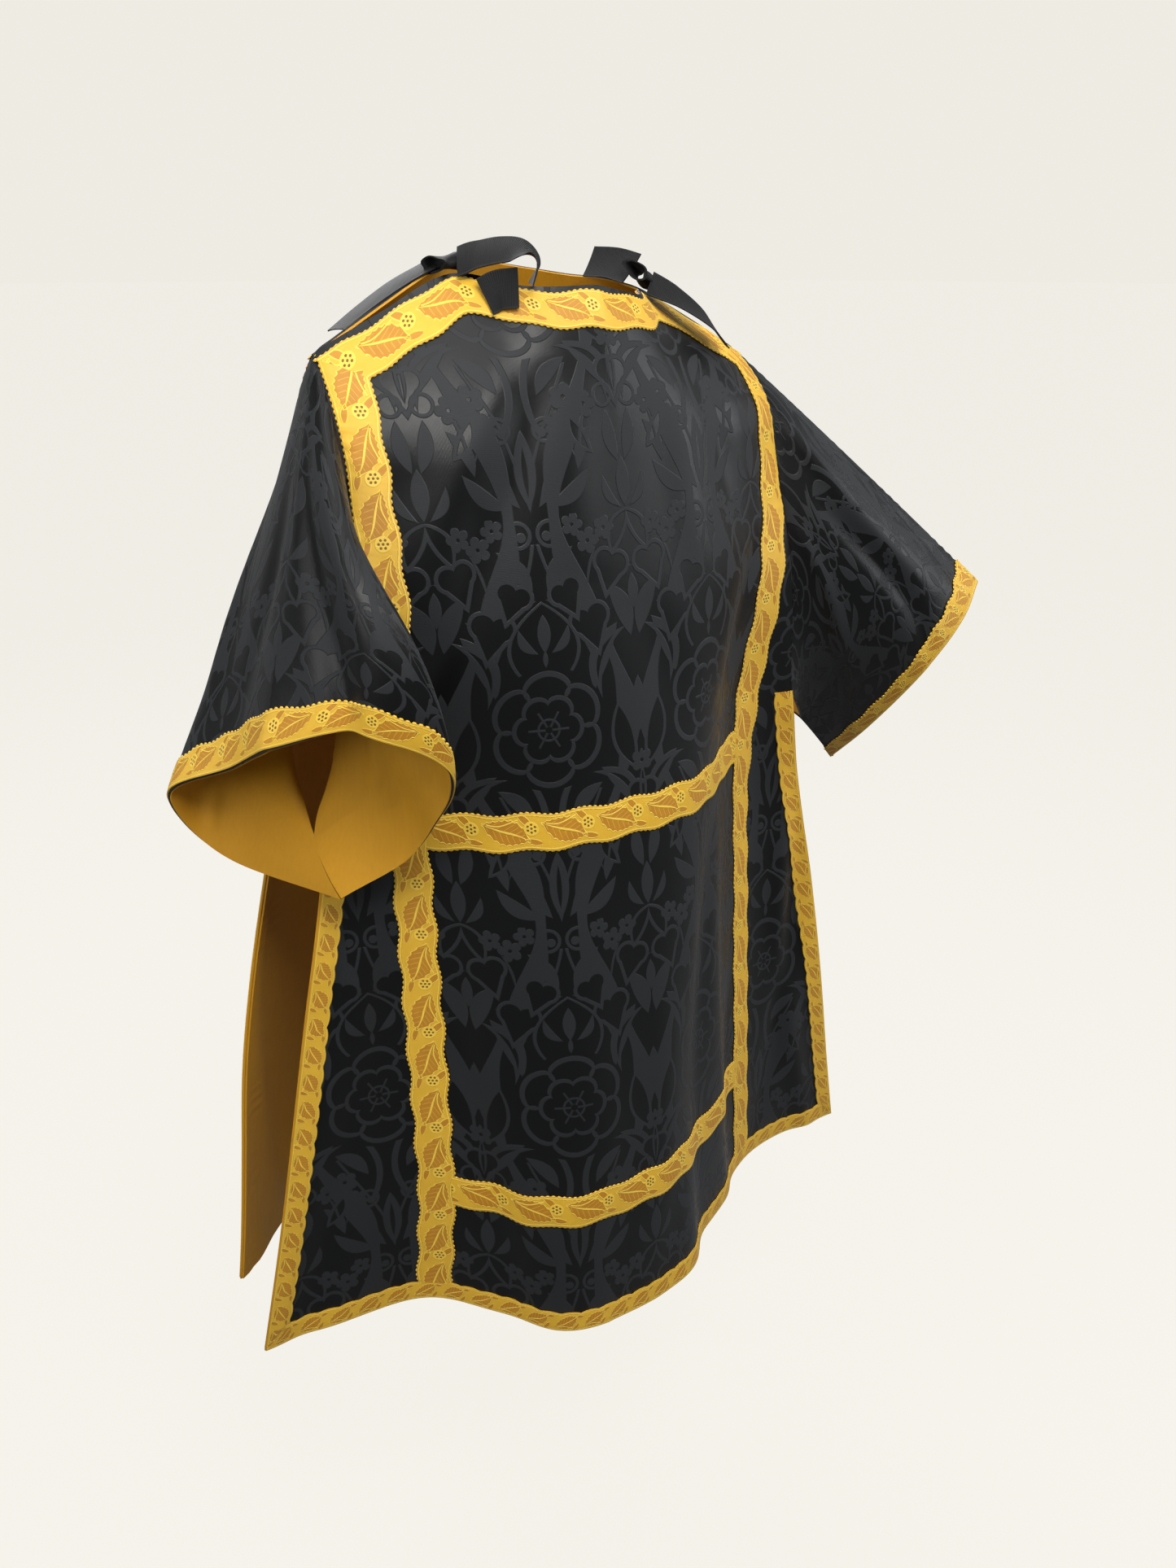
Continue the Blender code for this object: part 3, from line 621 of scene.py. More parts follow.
def make_sleeve(side, finish):
    """Both halves of a sleeve and its lining, which runs all round."""
    pieces = []
    alongs = row_places(CLOTH_STEP, SLEEVE_LENGTH)
    alongs[0] = SEAM_GAP / SLEEVE_LENGTH
    for panel in PANELS:
        places, out, measures = half_sleeve(panel, side, row_places(CLOTH_STEP, ARMHOLE_LENGTH), alongs)
        pieces.append(shell(f"{SIDES[side]}_sleeve_{panel}_damask", places, places - out * CLOTH,
                            measures, finish["damask"]))
    alongs = row_places(SLEEVE_LINING_STEP, SLEEVE_LENGTH)
    alongs[0] = SEAM_GAP / SLEEVE_LENGTH
    shares = row_places(SLEEVE_LINING_STEP, ARMHOLE_LENGTH)
    front = half_sleeve("front", side, shares[::-1], alongs)
    back = half_sleeve("back", side, shares[1:], alongs)
    places, out, measures = (np.concatenate(two, axis=1) for two in zip(front, back))
    seam = len(shares) - 1
    out[:, seam] = unit(out[:, seam - 1] + out[:, seam + 1])
    from_seam = np.abs(np.arange(out.shape[1]) - seam) * SLEEVE_LINING_STEP
    loose = LINING_EASE * ease((1 - alongs) / LINING_CUFF_HOLD)[:, None, None]
    loose = loose + SEAM_ROOM * np.exp(-(from_seam / SEAM_ROOM_REACH) ** 2)[None, :, None]
    behind = CLOTH + SEAM_GAP + loose
    pieces.append(shell(f"{SIDES[side]}_sleeve_lining_cloth", places - out * behind,
                        places - out * (behind + LINING), measures, finish["lining"]))
    return pieces


def lay_galloon(name, panel, across, down, along, aside, finish):
    """A galloon on a panel, at two cloth measures for each of its places.

    along and aside are the galloon's own measures, for its woven figure.
    """
    places, out = panel_cloth(panel, across, down)
    top = places + out * (TRIM_GAP + GALLOON + CROWN)[None, :, None]
    measures = np.stack(np.broadcast_arrays(along, aside), axis=-1)
    return shell(name, top, places + out * TRIM_GAP, measures, finish), top, out


def lay_wide(stem, ending, panel, across, down, along, finish):
    """A wide galloon on a panel, with its picots and the stitches that hold it."""
    piece, top, out = lay_galloon(stem + ending, panel, across, down, along,
                                  CROSS[None, :] * HALF_WIDE, finish["galloon"])
    edges = [(line - lean * PICOT_DROP, lean)
             for line, lean in inset_lines(top, out, PICOT_INSET, HALF_WIDE)]
    picots = sew_row(stem + "_picots", edges, PICOT_PITCH, PICOT_SIZE, finish["picot"])
    return piece, [picots, stitch(stem, top, out, STITCH_INSET, HALF_WIDE, finish)]


def stitch(stem, top, out, inset, half, finish):
    """The stitches along both edges of a galloon on a panel."""
    lines = [(line + lean * STITCH_LIFT, lean) for line, lean in inset_lines(top, out, inset, half)]
    return sew_row(stem + "_stitches", lines, STITCH_PITCH, STITCH_SIZE, finish["thread"])


def feed(node, **values):
    """Gives inputs of a node a field, a socket or a constant each.  A _ stands for a space."""
    for label, value in values.items():
        place = node.inputs[label.replace("_", " ")]
        if isinstance(value, Field):
            value = value.socket
        if isinstance(value, bpy.types.NodeSocket):
            node.id_data.links.new(value, place)
        else:
            place.default_value = value
    return node


def sewn_row_tree():
    """Small sewn forms, such as stitches or picots, set along a line at an even pitch."""
    tree = bpy.data.node_groups.new("sewn_row", "GeometryNodeTree")
    for label, kind in (("Geometry", "Geometry"), ("Pitch", "Float"), ("Length", "Float"),
                        ("Width", "Float"), ("Height", "Float"), ("Thread", "Material")):
        tree.interface.new_socket(label, in_out="INPUT", socket_type="NodeSocket" + kind)
    tree.interface.new_socket("Geometry", in_out="OUTPUT", socket_type="NodeSocketGeometry")
    new = tree.nodes.new
    given = new("NodeGroupInput").outputs
    line = feed(new("GeometryNodeMeshToCurve"), Mesh=given["Geometry"])
    spaced = new("GeometryNodeResampleCurve")
    spaced.mode = "LENGTH"
    feed(spaced, Curve=line.outputs["Curve"], Length=given["Pitch"])
    outward = new("GeometryNodeInputNamedAttribute")
    outward.data_type = "FLOAT_VECTOR"
    feed(outward, Name="out")
    turn = new("FunctionNodeAxesToRotation")
    turn.primary_axis = "Z"
    turn.secondary_axis = "X"
    feed(turn, Primary_Axis=outward.outputs["Attribute"],
         Secondary_Axis=new("GeometryNodeInputTangent").outputs["Tangent"])
    bead = feed(new("GeometryNodeMeshIcoSphere"), Radius=0.5, Subdivisions=1)
    size = feed(new("ShaderNodeCombineXYZ"), X=given["Length"], Y=given["Width"], Z=given["Height"])
    last = feed(new("GeometryNodeInstanceOnPoints"), Points=spaced.outputs["Curve"],
                Instance=bead.outputs["Mesh"], Rotation=turn.outputs["Rotation"],
                Scale=size.outputs["Vector"])
    for step in ("GeometryNodeRealizeInstances", "GeometryNodeSetShadeSmooth", "GeometryNodeSetMaterial"):
        last = feed(new(step), Geometry=last.outputs[0])
    feed(last, Material=given["Thread"])
    feed(new("NodeGroupOutput"), Geometry=last.outputs[0])
    return tree


def sew_row(name, lines, pitch, size, thread):
    """One piece of small sewn forms along several lines, each given as points and directions."""
    points, outs = (np.concatenate(parts) for parts in zip(*lines))
    edges = []
    start = 0
    for line, out in lines:
        edges += [(start + i, start + i + 1) for i in range(len(line) - 1)]
        start += len(line)
    mesh = bpy.data.meshes.new(name + "_line")
    mesh.from_pydata(points.tolist(), edges, [])
    mesh.attributes.new("out", "FLOAT_VECTOR", "POINT").data.foreach_set("vector", outs.ravel())
    guide = new_piece(name + "_line", mesh)
    tree = bpy.data.node_groups.get("sewn_row") or sewn_row_tree()
    rule = guide.modifiers.new("sewn_row", "NODES")
    rule.node_group = tree
    values = dict(zip(("Pitch", "Length", "Width", "Height", "Thread"), (pitch, *size, thread)))
    for item in tree.interface.items_tree:
        if item.name in values:
            rule[item.identifier] = values[item.name]
    return new_piece(name, plain_mesh(name, guide))


def inset_lines(top, out, inset, half):
    """Lines along a galloon's two edges, moved in from them by a distance."""
    share = inset / (2 * half)
    near = top[:, 0] * (1 - share) + top[:, -1] * share
    far = top[:, 0] * share + top[:, -1] * (1 - share)
    return [(near, out[:, 0]), (far, out[:, -1])]


def wave(along):
    return WIDE_WAVE * np.sin(along * 2 * math.pi / LEAF_REPEAT)


def make_stripe(panel, side, finish):
    """A stripe from its mitre at the shoulder down to the hem galloon."""
    outer = float(stripe_across(SHOULDER_DROP)) + HALF_WIDE
    outer_start = float(under_top(outer, GALLOON_INSET))
    inner_start = float(under_top(outer - WIDE_GALLOON, GALLOON_INSET + WIDE_GALLOON))
    starts = inner_start + (outer_start - inner_start) * (CROSS[None, :] + 1) / 2
    shares = row_places(GALLOON_STEP, LENGTH)[:, None]
    down = starts + (LENGTH - NARROW_GALLOON + HEM_LAP - starts) * shares
    across = stripe_across(down) + CROSS[None, :] * HALF_WIDE + wave(down) * ease(shares / MITRE_CALM)
    across = np.minimum(across, edge_across(down) - EDGE_MARGIN)
    return lay_wide(f"{SIDES[side]}_stripe_{panel}", "", panel, side * across, down, down, finish)


def make_band(panel, word, level, finish):
    """A level band of wide galloon between the two stripes."""
    reach = float(stripe_across(level)) - HALF_WIDE + BAND_TUCK
    shares = row_places(GALLOON_STEP, 2 * reach) * 2 - 1
    across = np.repeat(shares[:, None] * reach, len(CROSS), axis=1)
    down = level + CROSS[None, :] * HALF_WIDE + wave(across)
    return lay_wide(f"{word}_band_{panel}", "_galloon", panel, across, down, across, finish)


def make_neck_galloon(panel, finish):
    """The galloon under the neckline and the shoulders, cut on the mitre at both ends."""
    outer = float(stripe_across(SHOULDER_DROP)) + HALF_WIDE
    inner = outer - WIDE_GALLOON
    reach = outer + (inner - outer) * (CROSS + 1) / 2
    shares = row_places(GALLOON_STEP, 2 * outer) * 2 - 1
    shares = between(np.sort(np.concatenate([shares, [-NECK_ACROSS / inner, NECK_ACROSS / inner]])))
    across = shares[:, None] * reach[None, :]
    calm = ease((1 - np.abs(shares)) / CORNER_CALM)[:, None]
    lap = WIDE_GALLOON * (CROSS[None, :] + 1) / 2 + GALLOON_INSET + wave(across) * calm
    return lay_wide(f"neck_{panel}", "_galloon", panel, across, under_top(across, lap), across, finish)


def border_path(panel):
    """The outer edge of a border galloon in cloth measures: down a slit, the hem, up a slit."""
    downs = UNDERARM + row_places(GALLOON_STEP, LENGTH - UNDERARM) * (LENGTH - UNDERARM)
    sides = edge_across(downs)
    hem = row_places(GALLOON_STEP, 2 * EDGE_ACROSS[-1]) * 2 - 1
    across = np.concatenate([-sides, hem[1:-1] * EDGE_ACROSS[-1], sides[::-1]])
    down = np.concatenate([downs, np.full(len(hem) - 2, LENGTH), downs[::-1]])
    return across, down


def make_border(panel, finish):
    """The narrow galloon round the slits and the hem, and the lining's rolled edge outside it."""
    across, down = border_path(panel)
    edge = np.stack([across, down], axis=-1)
    inside = edge.copy()
    corner = EDGE_ACROSS[-1] - NARROW_GALLOON
    hem = np.isclose(down, LENGTH)
    inside[:, 0] = np.copysign(np.minimum(np.abs(across), edge_across(down) - NARROW_GALLOON), across)
    inside[hem, 1] = LENGTH - NARROW_GALLOON
    inside[hem, 0] = np.clip(across[hem], -corner, corner)
    near_hem = ~hem & (down > LENGTH - NARROW_GALLOON)
    inside[near_hem, 1] = LENGTH - NARROW_GALLOON
    inside[near_hem, 0] = np.sign(across[near_hem]) * corner
    run = np.concatenate([[0.0], np.cumsum(np.linalg.norm(np.diff(edge, axis=0), axis=1))])
    scallop = SCALLOP_RISE / NARROW_GALLOON * np.abs(np.sin(run * math.pi / SCALLOP_REPEAT)) ** 0.7
    lanes = (CROSS[None, :] + 1) / 2 * (BORDER_COVER + scallop[:, None])
    grid = edge[:, None] * (1 - lanes[..., None]) + inside[:, None] * lanes[..., None]
    piece, top, out = lay_galloon(f"border_{panel}_galloon", panel, grid[..., 0], grid[..., 1],
                                  run[:, None], CROSS[None, :] * NARROW_GALLOON / 2,
                                  finish["narrow_galloon"])
    stitches = stitch(f"border_{panel}", top, out, NARROW_STITCH_INSET, NARROW_GALLOON / 2, finish)
    places, leans = panel_cloth(panel, across, down)
    piping = tube(f"{panel}_rolled_edge", places - leans * PIPING_SINK, PIPING_RADIUS, finish["lining"])
    return piece, [stitches, piping]


def tube(name, line, radius, material):
    """A thin round roll of cloth along a line of points."""
    curve = bpy.data.curves.new(name, "CURVE")
    curve.dimensions = "3D"
    curve.bevel_depth = radius
    curve.bevel_resolution = 1
    curve.use_fill_caps = True
    spline = curve.splines.new("POLY")
    spline.points.add(len(line) - 1)
    spline.points.foreach_set("co", np.column_stack([line, np.ones(len(line))]).ravel())
    mesh = plain_mesh(name, new_piece(name, curve))
    bpy.data.curves.remove(curve)
    mesh.materials.clear()
    mesh.materials.append(material)
    return new_piece(name, mesh)


def make_cuff(side, finish):
    """The wide galloon all round a cuff."""
    shares = row_places(GALLOON_STEP, ARMHOLE_LENGTH)
    middle = (CUFF_GALLOON_FROM + 1.0) / 2
    half = (1.0 - CUFF_GALLOON_FROM) / 2 - CUFF_MARGIN
    tops, unders, outs, runs = [], [], [], []
    for panel, order in (("front", shares[::-1]), ("back", shares[1:-1])):
        share, lane = np.meshgrid(order, CROSS, indexing="ij")
        run = (-share if panel == "front" else share) * ARMHOLE_LENGTH * CUFF_FULLNESS
        ripple = np.where(lane < 0, wave(run) / SLEEVE_LENGTH, 0.0) * np.minimum(1.0, np.abs(lane) * 2)
        along = middle + lane * half + ripple
        places, out = sleeve_cloth(panel, side, share, along)
        tops.append(places + out * (TRIM_GAP + GALLOON + CROWN)[None, :, None])
        unders.append(places + out * TRIM_GAP)
        outs.append(out)
        runs.append(run)
    top, under, out, run = (np.concatenate(parts) for parts in (tops, unders, outs, runs))
    aside = np.broadcast_to(CROSS[None, :] * HALF_WIDE, run.shape)
    measures = np.stack([run, aside], axis=-1).swapaxes(0, 1)
    last = measures[:, -1:] + (measures[:, -1:] - measures[:, -2:-1])
    measures = np.concatenate([measures, last], axis=1)
    name = f"{SIDES[side]}_cuff"
    piece = shell(name + "_galloon", top.swapaxes(0, 1), under.swapaxes(0, 1), measures,
                  finish["galloon"], closed=True)
    lines = inset_lines(top, out, STITCH_INSET, HALF_WIDE)
    stitches = sew_row(name + "_stitches", lines, STITCH_PITCH, STITCH_SIZE, finish["thread"])
    picots = sew_row(name + "_picots", [(top[:, 0] - out[:, 0] * PICOT_DROP, out[:, 0])],
                     PICOT_PITCH, PICOT_SIZE, finish["picot"])
    return piece, [picots, stitches]


def make_ribbon(name, table, finish):
    """A flat ribbon along the smooth curve through a table's places, a little cupped."""
    rows = np.array(table, float)
    stations = np.linspace(0, len(rows) - 1, (len(rows) - 1) * RIBBON_STEPS + 1)
    read = smooth_read(stations, np.arange(len(rows)), rows)
    middle = read[:, :3]
    run = unit(np.gradient(middle, axis=0))
    width = unit(read[:, 3:] - run * (read[:, 3:] * run).sum(axis=1, keepdims=True))
    out = np.cross(run, width)
    t = np.linspace(-1.0, 1.0, 7)
    cup = RIBBON_CUP * (t ** 2 - 0.33)
    lanes = middle[:, None] + width[:, None] * (t * RIBBON_WIDTH / 2)[None, :, None]
    lanes = lanes + out[:, None] * cup[None, :, None]
    leans = np.broadcast_to(out[:, None], lanes.shape)
    length = np.concatenate([[0.0], np.cumsum(np.linalg.norm(np.diff(middle, axis=0), axis=1))])
    measures = np.stack(np.broadcast_arrays(length[:, None], t[None, :] * RIBBON_WIDTH / 2), axis=-1)
    piece = shell(name + "_grosgrain", lanes + leans * RIBBON / 2, lanes - leans * RIBBON / 2,
                  measures, finish["ribbon"])
    return piece, float(length[-1])


def make_knot(name, middle, run, width, finish):
    """A short wrap of ribbon that holds two ends together, drawn in at its waist."""
    run, width = unit(np.array(run, float)), unit(np.array(width, float))
    lift = unit(np.cross(run, width))
    turns = np.linspace(0.0, 2 * math.pi, KNOT_POINTS, endpoint=False)
    lanes = np.linspace(-1.0, 1.0, 9)
    t, a = np.meshgrid(lanes, turns, indexing="ij")
    crumple = 1 + 0.1 * np.sin(3 * a + 2 * t) + 0.06 * np.sin(5 * a - 3 * t)
    swell = (0.82 + 0.3 * t ** 2) * crumple
    round_way = (run[None, None] * (KNOT_REACH * swell * np.cos(a))[..., None]
                 + lift[None, None] * (KNOT_RISE * swell * np.sin(a))[..., None])
    lane = width[None, None] * (t * KNOT_WIDTH / 2)[..., None]
    outer = np.array(middle) + lane + round_way
    inner = np.array(middle) + lane + round_way * (1 - RIBBON / KNOT_RISE)
    girth = np.append(turns, 2 * math.pi) * (KNOT_REACH + KNOT_RISE) / 2
    measures = np.stack(np.meshgrid(lanes * KNOT_WIDTH / 2, girth, indexing="ij"), axis=-1)[..., ::-1]
    return shell(name, outer, inner, measures, finish["ribbon"], closed=True)


def as_node(operation):
    return lambda self, *others: self.math(operation, *others)


class Field:
    """A number that varies over the cloth, written as arithmetic and kept as Math nodes."""

    def __init__(self, tree, socket):
        self.tree = tree
        self.socket = socket

    def math(self, operation, *others, clamp=False):
        node = self.tree.nodes.new("ShaderNodeMath")
        node.operation = operation
        node.use_clamp = clamp
        for place, value in enumerate((self, *others)):
            if isinstance(value, Field):
                self.tree.links.new(value.socket, node.inputs[place])
            else:
                node.inputs[place].default_value = value
        return Field(self.tree, node.outputs[0])

    __add__ = __radd__ = as_node("ADD")
    __sub__ = as_node("SUBTRACT")
    __mul__ = __rmul__ = as_node("MULTIPLY")
    __truediv__ = as_node("DIVIDE")
    abs = as_node("ABSOLUTE")
    sin = as_node("SINE")
    cos = as_node("COSINE")
    root = as_node("SQRT")
    power = as_node("POWER")
    either = as_node("MAXIMUM")
    both = as_node("MINIMUM")
    angle = as_node("ARCTAN2")

    def __neg__(self):
        return self * -1.0

    def __rsub__(self, other):
        return (-self) + other

    def wrap(self, low, high):
        return self.math("WRAP", high, low)

    def waves(self, pitch):
        return (self * (2 * math.pi / pitch)).sin()

    def drawn(self, softness):
        """1 where the field is above 0, with a soft edge."""
        return (self / softness + 0.5).math("ADD", 0.0, clamp=True)


def cloth_measures(tree, scale):
    """The two measures of the UV map, as fields."""
    uv = tree.nodes.new("ShaderNodeUVMap")
    uv.uv_map = "measures"
    parts = feed(tree.nodes.new("ShaderNodeSeparateXYZ"), Vector=uv.outputs["UV"])
    return [Field(tree, parts.outputs[axis]) * scale for axis in ("X", "Y")]


def distance(x, y):
    return (x * x + y * y).root()


def turned(x, y, degrees):
    """The same point in axes turned by an angle."""
    c, s = math.cos(math.radians(degrees)), math.sin(math.radians(degrees))
    return x * c + y * s, y * c - x * s


def disc(x, y, across, down, radius):
    return radius - distance(x - across, y - down)


def union(*shapes):
    whole = shapes[0]
    for shape in shapes[1:]:
        whole = whole.either(shape)
    return whole


def outline(shape, width):
    """The rim of a shape, inside its edge."""
    return shape.both(width - shape)


def petals(x, y, radius, count, depth, turn=0.0):
    """A flower of round petals about the origin."""
    angle = y.angle(x)
    lobes = ((angle * (count / 2) + turn).cos().abs()).power(0.6)
    return radius * (1 - depth) + lobes * (radius * depth) - distance(x, y)


def leaf(x, y, across, down, degrees, length, width, bend=0.0):
    """A pointed leaf about a place, its length turned from the down direction."""
    q, p = turned(x - across, y - down, degrees)
    p = p / (length / 2)
    belly = 1 - p * p
    return belly * (width / 2) - (q + belly * bend).abs()


def heart(x, y, across, down, size, degrees=0.0):
    """A heart with its tip down: two round lobes over a wedge."""
    q, p = turned(x - across, y - down, degrees)
    q = q.abs()
    lobes = disc(q, p, size * 0.46, -size * 0.34, size * 0.56)
    wedge = ((size * 1.3 - p) * 0.62 - q).both(p + size * 0.1)
    return lobes.either(wedge * 0.8)


def rosette(x, y):
    """A double flower of six petals, with a wheel at its heart."""
    outer = petals(x, y, 5.8, 6, 0.18, turn=math.pi / 2)
    inner = petals(x, y, 3.6, 6, 0.22)
    drawn = outline(outer, 0.56).either(outline(inner, 0.46))
    far = distance(x, y)
    spokes = (0.1 - (y.angle(x) * 3).sin().abs() * far * 0.34).both(2.0 - far)
    drawn = drawn.either(spokes.both(far - 0.35))
    wheel = outline(1.15 - far, 0.22)
    angle = y.angle(x).wrap(-math.pi / 6, math.pi / 6)
    spike = leaf(far * angle.sin(), far * angle.cos(), 0.0, 4.1, 0.0, 1.5, 0.5)
    return drawn.either(wheel).either(spike.both(outer - 0.5))


def small_flower(x, y, across, down, size):
    x, y = x - across, y - down
    return petals(x, y, size, 5, 0.45).both(distance(x, y) - size * 0.16)


# Forms of the damask, in centimetres from a rosette's middle, on one side of the mirror line.
# Rows of leaves: across, down, turn from upright in degrees, length, width, bend.
LIGHT_LEAVES = (
    (6.4, -6.4, 26, 6.8, 2.2, 0.7), (8.3, -10.6, -24, 5.8, 2.0, -0.5),
    (2.2, -15.0, 34, 5.0, 1.6, 0.4), (7.4, 7.0, -40, 6.6, 2.1, -0.7),
    (3.6, 7.6, 44, 4.6, 1.5, 0.5), (2.0, 16.4, 22, 6.0, 1.6, -0.6),
    (4.0, 17.6, 54, 5.4, 1.5, -0.6), (0.0, 15.8, 0, 7.0, 2.0, 0.0),
    (9.2, 13.4, -10, 4.6, 1.4, 0.3), (6.0, 14.2, 26, 4.4, 1.2, 0.4),
)
DARK_LEAVES = (
    (8.3, 1.8, -14, 6.4, 2.0, 0.3), (5.6, 13.0, -30, 3.2, 0.9, 0.2),
    (6.4, -6.2, 26, 4.6, 0.5, 0.7), (0.0, 16.0, 0, 4.6, 0.5, 0.0),
    (7.5, 6.9, -40, 4.6, 0.5, -0.7), (9.0, -18.0, 30, 4.0, 1.3, 0.3),
)
# Buds that fill the bare arches, drawn over the dark leaves.
BUDS = (
    (0.0, -9.3, 0, 3.6, 1.3, 0.0), (1.6, -8.7, 36, 3.0, 0.9, -0.5),
    (0.0, -6.9, 0, 1.6, 0.5, 0.0), (10.0, -1.2, 0, 5.6, 1.7, 0.0),
    (8.4, -3.4, -30, 2.6, 0.7, 0.3), (10.0, -12.2, 0, 3.4, 1.2, 0.0),
    (10.0, 17.6, 0, 4.6, 1.5, 0.0), (8.6, 18.4, -30, 3.4, 0.9, 0.5),
)
DARK_HEARTS = ((5.0, -9.6, 1.9, -14), (2.7, -12.6, 1.5, -22), (7.6, -14.6, 1.7, 16), (10.0, 8.2, 1.6, 0))
FLOWERS = ((4.5, 9.6, 1.35), (6.4, 10.4, 1.25), (3.4, 12.0, 1.15), (10.0, 4.6, 1.3),
           (5.3, -17.4, 1.25), (7.2, -18.4, 1.15), (3.8, -19.0, 1.1))
STEMS = ((4.4, 12.6, -12, 5.2), (6.0, 12.8, 14, 4.6), (10.0, 7.4, 0, 4.4), (5.6, -15.0, 18, 4.2))
SCROLLS = ((2.3, 12.4, 1.2, 0.34), (1.5, -18.4, 1.3, 0.34), (8.6, 9.8, 1.1, 0.3))
SCROLL_EYES = ((2.0, 12.6, 0.45), (1.2, -18.2, 0.45))
RIM = 0.38


def damask_figure(tree):
    """How far inside the damask's woven figure a place of the cloth is, in centimetres."""
    u, v = cloth_measures(tree, 100.0)
    wide, high = DAMASK_WIDTH * 50, DAMASK_HEIGHT * 50
    x = (u - ROSETTE_ACROSS * 100).wrap(-wide, wide).abs()
    y = (v - ROSETTE_DOWN * 100).wrap(-high, high)
    stem = x - (5.4 + (y * (math.pi / high)).cos() * 3.3)
    swell = 0.95 + (y * (3 * math.pi / high)).cos() * 0.45
    inner_stem = (0.16 - (stem + 2.1).abs()).both(5.5 - (y.abs() - 12.0).abs())
    figure = union(swell - stem.abs(), inner_stem, *(leaf(x, y, *row) for row in LIGHT_LEAVES))
    cuts = [leaf(x, y, *row) for row in DARK_LEAVES]
    cuts += [heart(x, y, *row) for row in DARK_HEARTS]
    cuts.append(leaf(x, y, 0.0, -7.8, 0, 8.6, 6.6))
    for cut in cuts:
        figure = figure.either(cut + RIM).both(-cut)
    lyre = (0.34 - (x - (0.8 + (y - 9.0) * (y - 9.0) * 0.08)).abs()).both(3.4 - (y - 9.2).abs())
    figure = union(
        figure, lyre,
        *(leaf(x, y, *row) for row in BUDS),
        *(small_flower(x, y, *row) for row in FLOWERS),
        *(leaf(x, y, *row, 0.3, 0.3) for row in STEMS),
        *(outline(disc(x, y, *row), width) for *row, width in SCROLLS),
        *(disc(x, y, *row) for row in SCROLL_EYES))
    return figure.both(distance(x, y) - 6.1).either(rosette(x, y))


def new_finish(name, colour, roughness, **constants):
    """A material, its node tree and its shader."""
    material = bpy.data.materials.new(name)
    material.use_nodes = True
    material.diffuse_color = (*colour, 1.0)
    tree = material.node_tree
    shader = feed(tree.nodes["Principled BSDF"], Base_Color=(*colour, 1.0), Roughness=roughness)
    return material, tree, feed(shader, **constants)


def blend_colours(share, low, high):
    """A colour between two others, each a colour or a socket."""
    mix = share.tree.nodes.new("ShaderNodeMix")
    mix.data_type = "RGBA"
    feed(mix, Factor=share)
    for place, colour in ((6, low), (7, high)):
        if isinstance(colour, tuple):
            mix.inputs[place].default_value = (*colour, 1.0)
        else:
            share.tree.links.new(colour, mix.inputs[place])
    return mix.outputs[2]


def noise(tree, scale, detail=3.0, stretch=(1.0, 1.0, 1.0)):
    """Even noise from 0 to 1 on the piece's own place."""
    place = tree.nodes.new("ShaderNodeTexCoord").outputs["Object"]
    mapping = feed(tree.nodes.new("ShaderNodeMapping"), Vector=place, Scale=stretch)
    texture = feed(tree.nodes.new("ShaderNodeTexNoise"), Vector=mapping.outputs["Vector"], Scale=scale,
                   Detail=detail)
    return Field(tree, texture.outputs["Fac"])


def raise_surface(shader, height, depth, strength):
    """Bump from a height from 0 to 1, a depth in metres."""
    bump = feed(height.tree.nodes.new("ShaderNodeBump"), Height=height, Distance=depth, Strength=strength)
    feed(shader, Normal=bump.outputs["Normal"])


def damask_finish():
    """Black damask: a satin ground with a matt figure that stands a thread higher."""
    material, tree, shader = new_finish("damask", (0.006, 0.0065, 0.007), 0.4, Specular_IOR_Level=0.27,
                                        Sheen_Weight=0.04, Sheen_Roughness=0.5)
    figure = damask_figure(tree).drawn(0.09)
    u, v = cloth_measures(tree, 1000.0)
    cloudy = noise(tree, 9.0, 2.0)
    warp, weft = u.waves(0.9) * 0.5 + 0.5, v.waves(1.1) * 0.5 + 0.5
    ground = blend_colours(cloudy, (0.0014, 0.0016, 0.0019), (0.003, 0.0033, 0.0037))
    woven = blend_colours(cloudy, (0.013, 0.0141, 0.0158), (0.018, 0.0194, 0.0215))
    feed(shader, Base_Color=blend_colours(figure, ground, woven),
         Roughness=0.32 + figure * 0.28 + cloudy * 0.05)
    thread = warp * (1 - figure) * 0.1 + weft * figure * 0.14
    raise_surface(shader, figure * 0.8 + thread + noise(tree, 420.0, 2.0) * 0.12, 0.00045, 0.8)
    return material


# The galloon's figure: the repeat and half the width, in its own units.
LEAF_UNITS = 5.7
HALF_UNITS = 1.85


